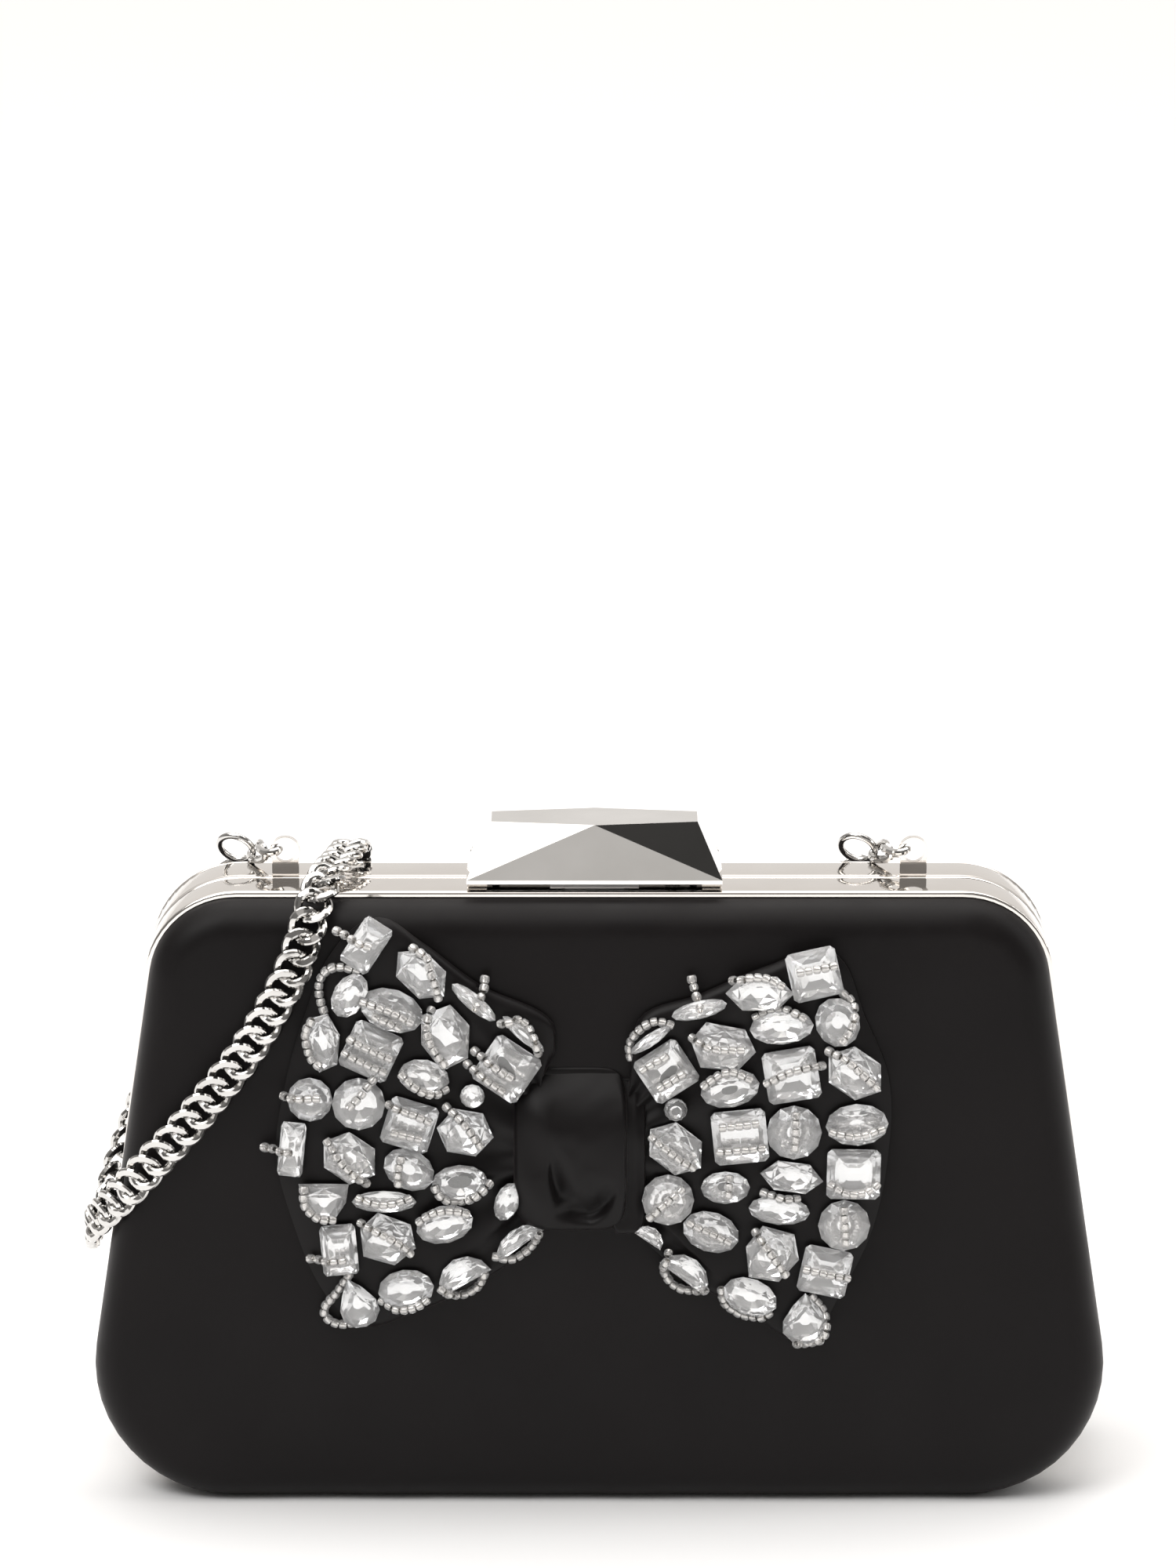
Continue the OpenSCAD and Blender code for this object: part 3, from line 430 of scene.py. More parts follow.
def smooth_route(rows, step):
    """A curve through the rows' points, as evenly spaced (point, facing) pairs."""
    fine = 0.5
    pts = [Vector(r[0]) for r in rows]
    ups = [Vector(r[1]).normalized() for r in rows]
    dense = []
    for k in range(len(pts) - 1):
        a, b = pts[max(k - 1, 0)], pts[k]
        c, d = pts[k + 1], pts[min(k + 2, len(pts) - 1)]
        length = (c - b).length
        before = (c - a) * (length / max((c - a).length, 1e-6))
        after = (d - b) * (length / max((d - b).length, 1e-6))
        n = max(2, int(length / fine))
        for i in range(n):
            t = i / n
            p = (b * (2 * t**3 - 3 * t**2 + 1) + before * (t**3 - 2 * t**2 + t)
                 + c * (3 * t**2 - 2 * t**3) + after * (t**3 - t**2))
            dense.append((p, ups[k].lerp(ups[k + 1], t)))
    dense.append((pts[-1], ups[-1]))
    even, left = [dense[0]], step
    for (p, u), (q, w) in zip(dense, dense[1:]):
        gap = (q - p).length
        done = 0.0
        while gap - done >= left:
            done += left
            even.append((p.lerp(q, done / gap), u.lerp(w, done / gap)))
            left = step
        left -= gap - done
    return even


def face_route(points, step):
    """Evenly spaced points of a curve on the face, with u in x and v in z."""
    return [p for p, _ in smooth_route([((u, 0, v), (0, 1, 0)) for u, v in points], step)]


def link_shape(length_r, width_r, wire, rise, twist, cut):
    """One curb link: a twisted ring of flattened wire whose top and bottom are cut flat."""
    around, section = 28, 10

    def centre(t):
        return Vector((length_r * math.cos(t), width_r * math.sin(t), twist * math.sin(2 * t)))

    rings = []
    for k in range(around):
        t = 2 * math.pi * k / around
        c = centre(t)
        along = (centre(t + 0.01) - centre(t - 0.01)).normalized()
        out = Vector((math.cos(t), math.sin(t), 0))
        out = (out - along * out.dot(along)).normalized()
        up = along.cross(out)
        ring = []
        for j in range(section):
            a = 2 * math.pi * (j + 0.5) / section
            p = c + out * math.cos(a) * wire + up * math.sin(a) * rise
            ring.append(Vector((p.x, p.y, max(-cut, min(cut, p.z)))))
        rings.append(ring)
    return lofted(rings, loop=True)


def chain(name, rows, body):
    """Curb links along a route, as one piece. Returns it, its route in metres and its length."""
    even = smooth_route(rows, 1.0)
    line = [p for p, _ in even]
    total = len(line) - 1
    shape, faces = link_shape(length_r=LINK_PITCH / 2 + LINK_WIRE_R, width_r=CHAIN_W / 2 - LINK_WIRE_R,
                              wire=LINK_WIRE_R, rise=LINK_WIRE_RISE, twist=LINK_TWIST, cut=LINK_CUT)
    count = int(total / LINK_PITCH)
    start = (total - count * LINK_PITCH) / 2
    parts = []
    for k in range(count + 1):
        s = min(start + k * LINK_PITCH, total - 0.01)
        i = int(s)
        p, up = line[i].lerp(line[i + 1], s - i), even[i][1]
        along = (line[min(i + 3, total)] - line[max(i - 2, 0)]).normalized()
        up = (up - along * up.dot(along)).normalized()
        side = up.cross(along)
        parts.append(([at(*(p + along * v.x + side * v.y + up * v.z)) for v in shape], faces, []))
    verts, faces, _ = grown(parts)
    obj = piece(name, verts, faces, body, [CHAIN_METAL], CHAIN_SMOOTH)
    path = [at(*p) for p in line[::3]]
    if (path[-1] - at(*line[-1])).length > 1e-6:
        path.append(at(*line[-1]))
    return obj, path, sum((b - a).length for a, b in zip(path, path[1:]))


def end_links():
    """Two twisted links from each lug to its ring, along the way that the CAD's links run."""
    shape, faces = link_shape(length_r=4.5, width_r=1.75, wire=0.86, rise=0.72, twist=0.55, cut=1.15)
    run = Vector((-0.36, 0.88, -0.26)).normalized()
    side = Vector((0, 0, 1)).cross(run).normalized()
    up = run.cross(side)
    lug_x, lug_y, lug_z = 64.3, 0.9, BAG_H + 5.25
    lug_wire_x = 2.625
    roll = 0.25
    first, second = (2.6, roll), (9.4, math.pi / 2 + roll)
    parts = []
    for s in (-1, 1):
        origin = Vector((s * lug_x - lug_wire_x, lug_y, lug_z))
        for along, turn in (first, second):
            a = side * math.cos(turn) + up * math.sin(turn)
            b = run.cross(a)
            verts = [at(*(origin + run * (along + v.x) + a * v.y + b * v.z)) for v in shape]
            parts.append((verts, faces, []))
    verts, faces, _ = grown(parts)
    obj = piece("twisted_end_links", verts, faces, "rear_half", [CHAIN_METAL], CHAIN_SMOOTH)
    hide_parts("strap_end_links")
    return obj


def strap():
    """One chain in two pieces. Both ride on the rear half."""
    tail, path, length = chain("strap_tail", DROP + hank_turns() + RISE, "rear_half")
    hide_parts("strap_drop", "strap_hank", "strap_rise")
    end_links()
    drape, path, length = chain("strap_drape_chain", DRAPE, "rear_half")
    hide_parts("strap_drape")
    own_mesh(drape)


strap()


# ---- Case ----
def relief(x, z):
    """How far wadded satin stands off its shell, beyond the plain shape."""
    slow = noise.noise(Vector((x * 0.022, z * 0.022, 3.1)))
    quick = noise.noise(Vector((x * 0.07, z * 0.07, 7.7)))
    return 0.35 * slow + 0.10 * quick


def pan_skin(line, inset, less, rim, roll, sign, soft):
    """Rings of one skin of a half, from its rim to the middle of its face.

    sign is -1 in front and 1 behind; soft is 1 for wadded satin and 0 for a plain skin.
    """
    rings = []
    rim_points = outline(line, inset)
    for depth in (rim, rim + 0.35 if soft else rim + 0.1):
        rings.append([at(x, sign * depth, z) for x, z in rim_points])
    steps = 9
    for k in range(steps + 1):
        a = math.pi / 2 * k / steps
        points = outline(line, inset + roll * (1 - math.cos(a)))
        ring = []
        for j, (x, z) in enumerate(points):
            wave = 0.12 * math.sin(j * 0.9 + 1.3 * math.sin(j * 0.37)) * math.sin(2 * a) if soft else 0
            lift = soft * relief(x, z) * math.sin(a) + wave
            ring.append(at(x, sign * (face_y(z) - less - roll * (1 - math.sin(a)) + lift), z))
        rings.append(ring)
    mid = Vector((0, BAG_H / 2))
    edge = outline(line, inset + roll)
    fractions = [0.97, 0.93, 0.88, 0.82, 0.75, 0.67, 0.58, 0.49, 0.4, 0.3, 0.2, 0.1]
    for f in fractions:
        ring = []
        for p in edge:
            q = mid + (Vector(p) - mid) * f
            depth = face_y(q.y) - less + CROWN * (1 - f * f) + soft * relief(q.x, q.y)
            ring.append(at(q.x, sign * depth, q.y))
        rings.append(ring)
    return rings


def half_pan(name, node, body, mat, line, inset, thick, less, rim, roll, sign, soft):
    """A closed pan of a given thickness, inset from line and standing less short of the case's face."""
    inner = pan_skin(line, inset + thick, less + thick, rim, max(roll - thick, 1), sign, 0)
    outer = pan_skin(line, inset, less, rim, roll, sign, soft)
    verts, faces = lofted(inner[::-1] + outer)
    obj = piece(name, verts, faces, body, [mat])
    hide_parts(node)
    return obj


for half, sign in (("front", -1), ("rear", 1)):
    cover = half_pan(f"{half}_satin_cover", f"{half}_cover", f"{half}_half", SATIN, COVER_LINE,
                     inset=0, thick=COVER_T, less=0, rim=FRAME_D + BOND, roll=EDGE_ROLL, sign=sign, soft=1)
    half_pan(f"{half}_lining_tray", f"{half}_lining", f"{half}_half", LINING, FRAME_LINE,
             inset=FRAME_T + WEB_W + 0.15, thick=LINING_T, less=COVER_T + SHELL_T + 0.2, rim=1.5, roll=3,
             sign=sign, soft=0)


def frame_half(half, sign):
    """Polished strip with rounded edges, a step along the parting line and the web that holds the shell."""
    # Each row is a depth from the parting plane, then how far the surface stands out of FRAME_LINE.
    profile = [(0.15, -FRAME_T), (0.15, -0.75), (0.2, -0.45), (0.42, -0.2), (0.8, -0.1), (1.15, -0.12),
               (1.3, -0.02), (1.5, 0), (10.4, 0), (10.6, -0.04), (10.75, -0.14), (10.95, 0.02), (11.2, 0.08),
               (11.42, 0.0), (11.56, -0.2), (FRAME_D, -0.5), (FRAME_D, -FRAME_T - WEB_W),
               (FRAME_D - FRAME_T, -FRAME_T - WEB_W), (FRAME_D - FRAME_T, -FRAME_T)]
    rings = []
    for depth, out in profile:
        ring = []
        for x, z in outline(FRAME_LINE, -out):
            slotted = z < HINGE_TOP and abs(x) < HINGE_HALF
            ring.append(at(x, sign * (max(depth, HINGE_SLOT) if slotted else depth), z))
        rings.append(ring)
    verts, faces = lofted(rings, loop=True)
    obj = piece(f"{half}_polished_frame", verts, faces, f"{half}_half", [NICKEL], 40)
    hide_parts(f"{half}_frame")


frame_half("front", -1)
frame_half("rear", 1)


def from_cad(name, node, body, mat, width, smooth_angle):
    """A CAD node's own shape with its edges broken by a small bevel."""
    bm = bmesh.new()
    bm.from_mesh(frame["nodes"][node].data)
    bmesh.ops.remove_doubles(bm, verts=bm.verts, dist=1e-6)
    bmesh.ops.dissolve_limit(bm, angle_limit=math.radians(1), verts=bm.verts, edges=bm.edges)
    limit = math.radians(smooth_angle)
    sharp = [e for e in bm.edges if len(e.link_faces) == 2 and e.calc_face_angle(0) > limit]
    bmesh.ops.bevel(bm, geom=sharp, offset=width * MM, segments=2, affect="EDGES", clamp_overlap=True)
    mesh = bpy.data.meshes.new(name)
    bm.to_mesh(mesh)
    bm.free()
    verts = [v.co.copy() for v in mesh.vertices]
    faces = [tuple(p.vertices) for p in mesh.polygons]
    bpy.data.meshes.remove(mesh)
    obj = piece(name, verts, faces, body, [mat], smooth_angle)
    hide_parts(node)


from_cad("faceted_bar", "clasp_bar", "clasp", BAR_NICKEL, width=0.22, smooth_angle=12)
from_cad("ring_lugs", "chain_lugs", "rear_half", NICKEL, width=0.15, smooth_angle=20)
repaint(["strap_end_rings"], CHAIN_METAL)
repaint(["hank_tie"], TAPE)

# ---- Bow ----
WING_H = CROWN + 0.2
WING_T = 2.0
STONE_BACK = WING_H + WING_T + 0.1
STONE_H = 3.4
STONE_FULL = 1.05           # size of a stone against its CAD solid
LEFT_EDGE = [(-9, 97), (-10, 104), (-24, 111), (-36, 120), (-45, 125), (-54, 118), (-60, 104), (-64, 90),
             (-66, 76), (-63, 62), (-57, 47), (-49, 39), (-38, 42), (-27, 47), (-13, 57), (-12, 62)]
RIGHT_EDGE = [(8, 94), (8, 104), (20, 109), (34, 115), (47, 118), (54, 104), (59, 91), (59, 76), (56, 60),
              (50, 47), (42, 36), (31, 42), (20, 48), (9, 58), (8, 62)]


def wing(name, node, edge, root_x, seed):
    """A wadded satin wing, gathered into pleats where it enters the knot."""
    rim = face_route(edge, 2.0)
    n = len(rim)
    pleats, pleat_h = 5.5, 0.75
    across = 16
    top, back = [], []
    for k, p in enumerate(rim):
        t = k / (n - 1)
        root = Vector((root_x, 0, 91 - 28 * t))
        for j in range(across + 1):
            s = (j / across) ** 0.8
            q = root.lerp(p, s)
            gather = (1 - s) ** 1.6
            pleat = pleat_h * gather * math.sin(2 * math.pi * (pleats * t + 0.13 * math.sin(7 * t + seed)))
            fall = min(1, (1 - s) * 9, t * 14 + 0.05, (1 - t) * 14 + 0.05)
            puff = 0.35 + (WING_T - 0.45) * math.sqrt(max(fall, 0)) + pleat
            puff += 0.15 * noise.noise(Vector((q.x * 0.12, q.z * 0.12, seed)))
            top.append(on_face(q.x, q.z, WING_H + max(0.3, min(puff, WING_T - 0.02 + 1.5 * gather))))
            back.append(on_face(q.x, q.z, WING_H))
    w = across + 1
    verts = top + back
    m = len(top)
    faces = []
    for k in range(n - 1):
        for j in range(across):
            a = k * w + j
            faces.append((a, a + 1, a + w + 1, a + w))
            faces.append((m + a, m + a + w, m + a + w + 1, m + a + 1))
        faces.append((k * w + across, m + k * w + across, m + (k + 1) * w + across, (k + 1) * w + across))
        faces.append((k * w, (k + 1) * w, m + (k + 1) * w, m + k * w))
    for k in (0, n - 1):
        for j in range(across):
            faces.append((k * w + j, m + k * w + j, m + k * w + j + 1, k * w + j + 1))
    obj = piece(name, verts, faces, "front_half", [BOW_SATIN], 60)
    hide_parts(node)
    return obj


wings = [wing("left_bow_wing", "bow_left_wing", LEFT_EDGE, -12, 1.0),
         wing("right_bow_wing", "bow_right_wing", RIGHT_EDGE, 6, 5.0)]


def gauss(x, width):
    return math.exp(-(x / width) ** 2)


def knot_height(x, y):
    """The knot's front, with x and y counted from its middle.

    It rolls back above and to the left, and a fold swirls round the lower middle.
    """
    body = 8.0 - 0.036 * max(0, y - 2) ** 2 - 0.012 * max(0, -y - 3) ** 2 - 0.045 * max(0, -x - 4) ** 2
    dx, dy = (x - 3.0) / 6.6, (y + 2.6) / 10.6
    r, angle = math.hypot(dx, dy), math.degrees(math.atan2(dy, dx)) % 360
    ease = min(1, max(0, (angle - 150) / 60), max(0, (350 - angle) / 50))
    gap = (r - 1) * 8.0
    step = ease * ease * (3 - 2 * ease) * (gauss(gap, 3.2) if gap < 0 else gauss(gap, 1.0))
    return body - 2.6 * step + 0.5 * math.sin(0.3 * (x + y) + 0.6) * gauss(x + 8, 5)


def fold_height(x, y):
    """The second layer beside the knot, rounded along its free edge."""
    return 5.4 - 0.25 * x + 0.3 * math.sin(y * 0.25) + 0.3 * gauss(x - 1.6, 0.9) - 0.03 * max(0, y - 4) ** 2


def soft_block(name, node, centre, size, height, power, seed):
    """A wadded block on the front face with a rounded outline and a shaped front."""
    # Each row is a share of the block's outline, then a share of its height.
    edge = [(0.93, 0.0), (0.975, 0.12), (0.995, 0.3), (1.0, 0.5), (0.995, 0.7), (0.98, 0.86), (0.955, 0.96)]
    front = [(0.93 - 0.02 * k, 1.0) for k in range(46)]
    rings = []
    n = 160
    for f, rise in edge + front:
        ring = []
        for k in range(n):
            c, s = math.cos(2 * math.pi * k / n), math.sin(2 * math.pi * k / n)
            x = f * size[0] / 2 * math.copysign(abs(c) ** power, c)
            y = f * size[1] / 2 * math.copysign(abs(s) ** power, s)
            h = height(x, y) + 0.10 * noise.noise(Vector((x * 0.3, y * 0.3, seed)))
            ring.append(on_face(centre[0] + x, centre[1] + y, WING_H + (h - WING_H) * rise))
        rings.append(ring)
    verts, faces = lofted(rings)
    obj = piece(name, verts, faces, "front_half", [BOW_SATIN], 70)
    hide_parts(node)


soft_block("knot", "bow_knot", (-5.9, 77), (23.2, 33.5), knot_height, 0.34, 2.0)
soft_block("knot_side_fold", "bow_knot_fold", (5.9, 75.4), (7.0, 32.0), fold_height, 0.34, 4.0)

# ---- Stones: (along the bag, up the bag, width, height, turn in degrees) ----
SQUARES = [(-46.3, 98, 10, 10, -25), (-18.8, 94.3, 10.4, 10.4, -34), (-38.6, 82.6, 9.6, 9.6, -17),
           (43.4, 114, 9.8, 9.8, 13), (13.6, 93.8, 9.8, 9.8, 33), (39, 93, 10.4, 10.4, 10),
           (28.6, 80.1, 10.6, 10.6, 6), (51.8, 72.2, 10.4, 10, -1), (46.2, 51.6, 9.6, 9.6, -12)]
ROUNDS = [(-58.8, 87.9, 8.8, 8.8, 0), (-48.9, 87, 10.4, 10.4, 0), (-25.8, 88.6, 4.8, 4.8, 0),
          (15.5, 85.8, 4.6, 4.6, 0), (39.6, 81, 10.8, 10.8, 0), (14, 66.8, 10.2, 10.2, 0),
          (50, 61.4, 10.2, 10.2, 0)]
OVALS = [(-50.5, 109.6, 6.4, 9.4, -30), (-42, 106.5, 12.6, 8.4, -20), (-25.4, 108.2, 11, 3.2, -41),
         (-15.4, 101.6, 10.6, 2.6, -42), (-35.6, 92.6, 10, 7, -12), (-38.8, 73.2, 10.4, 8, -28),
         (-43.9, 66.4, 12.6, 4.4, 0), (-28.4, 70.4, 11, 7.2, 3), (-18.8, 66.4, 4.8, 8, -20),
         (-31.6, 61.6, 11.4, 7.6, 15), (-39.6, 47.8, 11, 8, 8), (20.2, 106.6, 11, 3.6, 14),
         (10.4, 100.4, 9.4, 2.4, 35), (36.9, 103, 12.4, 6.8, 5), (48.2, 104, 8.6, 10, 20),
         (26.5, 90.2, 11.6, 7.6, 12), (52.4, 82.6, 12.2, 8.4, 3), (25.7, 69.4, 9.6, 6.6, 0),
         (36.7, 64.6, 12, 5.8, -5), (22.8, 60, 11.4, 8, -20), (30.9, 46.2, 11, 7.4, -22)]
HEXES = [(-36, 114, 12.4, 8.6, -45), (-27.3, 81, 11.2, 10, -10), (-50.9, 75.6, 12, 10, -35),
         (32.4, 110, 13.2, 7.8, 0), (51.8, 93.4, 12.4, 10, -35), (15.5, 77.6, 12.6, 9.8, -38),
         (39.2, 71.6, 12.4, 6.8, -8)]
SHIELDS = [(-55.9, 99.7, 6.8, 11.4, 8), (-31, 100.8, 10, 12.4, 15), (-43.4, 58.2, 11.4, 9.8, -25),
           (25, 98.6, 12.8, 9.4, -15), (35.2, 55, 10.6, 11.2, -20)]
RECTS = [(-47, 120, 6.2, 10.4, -33), (-62.6, 77.5, 4.9, 10.8, -6), (-53.2, 56.2, 7, 10.2, 5)]
HALVES = [(-56.2, 66.2, 9.8, 7.6, 180), (-28.5, 51.6, 11, 5.4, 30), (-17, 58.6, 11, 3.6, 37),
          (10.6, 59.4, 6.4, 3, -35), (18.4, 52, 11, 4.8, -38)]
DROPS = [(-49.7, 45, 8.2, 10.4, 20), (42.2, 41.6, 9.6, 10.4, 0)]


def ngon(n):
    return [(math.cos(2 * math.pi * k / n) / 2, math.sin(2 * math.pi * k / n) / 2) for k in range(n)]


CUT_SQUARE = [(0.5, -0.42), (0.5, 0.42), (0.42, 0.5), (-0.42, 0.5), (-0.5, 0.42), (-0.5, -0.42),
              (-0.42, -0.5), (0.42, -0.5)]
SHIELD = [(0.5, 0.1), (0.25, 0.5), (-0.35, 0.45), (-0.5, 0), (-0.25, -0.5), (0.3, -0.4)]
TEARDROP = [(0, 0.5), (-0.25, 0.25), (-0.45, -0.05), (-0.45, -0.28), (-0.25, -0.46), (0, -0.5),
            (0.25, -0.46), (0.45, -0.28), (0.45, -0.05), (0.25, 0.25)]
HALF_ROUND = [(math.cos(a) / 2, math.sin(a) - 0.5) for a in (math.radians(30 * k) for k in range(7))]


def gem(shape, stone, rng):
    """A cut stone: table, two rows of crown facets, girdle, and a foiled back with two rows of facets."""
    u, v, w, h, turn = stone
    w, h = w * STONE_FULL, h * STONE_FULL
    n = len(shape)
    c, s = math.cos(math.radians(turn)), math.sin(math.radians(turn))
    tilt = (rng.uniform(-0.05, 0.05), rng.uniform(-0.05, 0.05))

    def ring(scale, height, between=False):
        out = []
        for k in range(n):
            x, y = shape[k]
            if between:
                x, y = (x + shape[(k + 1) % n][0]) / 2, (y + shape[(k + 1) % n][1]) / 2
            x, y = x * w * scale, y * h * scale
            lift = height * STONE_H + (tilt[0] * x + tilt[1] * y) * 0.6
            out.append(on_face(u + x * c - y * s, v + (x * s + y * c) * math.cos(FACE_SLOPE),
                               STONE_BACK + max(0.02, lift)))
        return out

    # Each ring takes a share of the stone's outline and a share of its height.
    table, star = ring(0.56, 1.0), ring(0.83, 0.78, True)
    girdle_top, girdle_low = ring(1.0, 0.42), ring(1.0, 0.34)
    back, culet = ring(0.62, 0.12, True), ring(0.26, 0.0)
    verts = table + star + girdle_top + girdle_low + back + culet
    faces, slots = [tuple(range(n))], [0]
    T, S, G, L, B, C = (n * k for k in range(6))    # where each ring's points start, in the order above
    for k in range(n):
        m = (k + 1) % n
        clear = [(T + k, S + k, T + m), (G + k, G + m, S + k), (S + k, G + m, S + m), (T + m, S + k, S + m),
                 (G + k, L + k, L + m, G + m)]
        foil = [(L + k, B + k, L + m), (B + k, B + m, L + m), (B + k, C + m, B + m), (B + k, C + k, C + m)]
        faces += clear + foil
        slots += [0] * len(clear) + [1] * len(foil)
    faces.append(tuple(C + k for k in range(n - 1, -1, -1)))
    slots.append(1)
    return verts, faces, slots


def stones(name, node, shape, rows, seed):
    """All stones of one cut, sewn to the wings."""
    rng = random.Random(seed)
    verts, faces, slots = grown([gem(shape, row, rng) for row in rows])
    obj = piece(name, verts, faces, "front_half", [CLEAR, FOIL], 3, slots)
    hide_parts(node)
    return obj


gems = [stones("square_stones", "stones_square", CUT_SQUARE, SQUARES, 1),
        stones("round_stones", "stones_round", ngon(12), ROUNDS, 2),
        stones("oval_stones", "stones_oval", ngon(12), OVALS, 3),
        stones("hexagonal_stones", "stones_hex", ngon(6), HEXES, 4),
        stones("shield_stones", "stones_shield", SHIELD, SHIELDS, 5),
        stones("oblong_stones", "stones_rect", CUT_SQUARE, RECTS, 6),
        stones("half_round_stones", "stones_half", HALF_ROUND, HALVES, 7),
        stones("drop_stones", "stones_drop", TEARDROP, DROPS, 8)]

# ---- Strands of seed beads, each along its own points on the bow ----
BEAD_R = 0.98
BEAD_LEN = 1.55
BEAD_HOLE = 0.56            # of the bead's radius
BEAD_GAP = 0.12
LEFT_STRANDS = [
    [(-53, 122.4), (-46, 120.2)],
    [(-49, 114.6), (-52, 115.2), (-54.8, 114.6), (-56.5, 112.4), (-56.7, 109.4), (-55.8, 106.2)],
    [(-37.5, 119.4), (-34.8, 117.8), (-34, 115), (-32.9, 111.4), (-32.5, 109)],
    [(-47.5, 108.6), (-42.5, 107), (-37.5, 104.3)], [(-45.2, 105.8), (-39.8, 103.2)],
    [(-58.3, 104.5), (-59.4, 102.3), (-59.2, 99.5), (-58.3, 96.7), (-56.4, 95.1)],
    [(-50.2, 100.9), (-42.1, 96.9)], [(-51.4, 98.1), (-43.7, 94.3)],
    [(-34, 106.6), (-35, 103.9), (-34.4, 100.7), (-32.9, 97.9), (-30.6, 94.7)],
    [(-23.2, 112.4), (-23.5, 110.2), (-25.2, 107.3)],
    [(-19.8, 103.9), (-16.7, 104.7), (-14, 102.4), (-12.7, 99.5), (-12.3, 96.5)],
    [(-25.2, 97.9), (-17.1, 92.5)], [(-26.7, 95.3), (-19, 89.9)],
    [(-39.8, 93.5), (-36.7, 90.7), (-32.9, 89.3), (-30.2, 91)], [(-64, 88.6), (-57, 88.9)],
    [(-46, 92.3), (-48.7, 89.1), (-51.4, 86.4)], [(-42.6, 87), (-38, 85.6), (-34.6, 84)],
    [(-41.6, 81.6), (-36.6, 80.4)], [(-31, 86.4), (-27.4, 83.4), (-24, 78.6)],
    [(-68.2, 77.3), (-62.2, 77.6)], [(-55.2, 79.4), (-52.5, 75.4), (-49.4, 72.2), (-47.4, 70.4)],
    [(-40.4, 76), (-41, 73), (-40.8, 70.2)], [(-48.8, 67.6), (-44, 66.6), (-38.6, 67.6)],
    [(-33.4, 69.6), (-31.8, 67.4), (-28.2, 66.6), (-24.6, 68.4), (-22, 70.8)],
    [(-60.2, 69.4), (-60, 66.2), (-57.6, 63.6), (-54.4, 63)],
    [(-48.6, 62), (-44.2, 60.2), (-40.4, 58), (-38, 55.2)],
    [(-36.6, 62.6), (-34, 64.4), (-30, 65), (-26.6, 64.2)], [(-59.1, 54), (-51.6, 54.8)],
    [(-51.4, 50.6), (-54, 46.6), (-56.6, 42.4), (-54.2, 39.8), (-49.8, 40)],
    [(-44.6, 45.2), (-41.6, 43.8), (-37.8, 44.4), (-34.6, 46.6)],
    [(-32.3, 48.2), (-28.6, 46.2), (-25.2, 47.6), (-23.4, 51.2)],
    [(-21.2, 54.6), (-17.6, 54.2), (-14, 56.6), (-12.3, 60)]]
RIGHT_STRANDS = [
    [(40.5, 115.1), (48.7, 116.6)], [(27.1, 112.5), (30.2, 113.4), (34.1, 113.3), (37.7, 111.4)],
    [(18.7, 112.4), (19.4, 109.9), (20.8, 106.4)],
    [(14.3, 103.4), (11.1, 104), (7.9, 102), (6.2, 99), (6.4, 95.6)],
    [(18.9, 100.9), (22.5, 99.3), (26, 98.9), (29.2, 98.9)],
    [(31.7, 104.9), (34.5, 106.3), (38.4, 106.5), (41.6, 105.2)],
    [(49.4, 109.6), (51.4, 107.4), (51.2, 104), (49.2, 100.8)], [(8.9, 94.9), (13.6, 97.6)],
    [(12.4, 91.2), (17.6, 94.4)], [(21.4, 91.2), (23.9, 93.2), (27.1, 94), (31, 92.4)],
    [(34.1, 91.9), (38, 94.1), (42.3, 95.3), (45.1, 95.1)],
    [(46.6, 98), (50.1, 96.6), (53.6, 93.6), (57, 90)], [(10.8, 80.4), (15, 77), (20, 73.6)],
    [(25, 82.8), (32, 83.6)], [(24.6, 77.6), (33, 78.4)], [(39.8, 85.2), (39.8, 80.9), (39.6, 77)],
    [(47.4, 81.6), (52.2, 81), (57.6, 82.4)], [(47.2, 70.6), (50.6, 68.8), (54.1, 69.2), (57, 71)],
    [(33.6, 68.2), (37, 67.4), (41, 67)], [(26.4, 72), (26.2, 68)], [(16.6, 69.6), (13, 66.4), (10, 63.4)],
    [(49.8, 65.2), (50.2, 58.4)], [(18.6, 62.4), (23, 60.4), (27, 58.4)],
    [(32, 60), (34.8, 56.4), (38.2, 51.4)], [(42.4, 52.8), (46.9, 51.8), (51.6, 50.6)],
    [(14.1, 55.6), (13.2, 51.6), (15.3, 48), (19.1, 47), (22.3, 48.6)],
    [(25, 47.4), (26, 44), (29.8, 41.6), (33.7, 41.8), (35.8, 43.6)],
    [(43.7, 46), (46.2, 42.4), (46.2, 38.6), (43, 36), (39.6, 37)]]


def bead_shape():
    """A rounded glass tube, and the silver lining of its hole."""
    around, half = 12, BEAD_LEN / 2
    outer = [(-half, BEAD_HOLE), (-half, 0.72), (-half * 0.8, 0.9), (-half * 0.4, 1.0), (half * 0.4, 1.0),
             (half * 0.8, 0.9), (half, 0.72), (half, BEAD_HOLE)]
    angles = [2 * math.pi * k / around for k in range(around)]
    rings = [[Vector((x, BEAD_R * r * math.cos(a), BEAD_R * r * math.sin(a))) for a in angles]
             for x, r in outer]
    verts, faces = lofted(rings, loop=True)
    lining = [1 if k >= (len(outer) - 1) * around else 0 for k in range(len(faces))]
    return verts, faces, lining


def surface_under(trees, u, v):
    """Height above the face of the highest stone or cloth at u, v."""
    start = 12.0
    origin = on_face(u, v, start)
    down = on_face(u, v, 0) - on_face(u, v, 1)
    best = WING_H
    for tree in trees:
        hit = tree.ray_cast(origin, down, start * MM)
        if hit[0] is not None:
            best = max(best, start - hit[3] / MM)
    return best


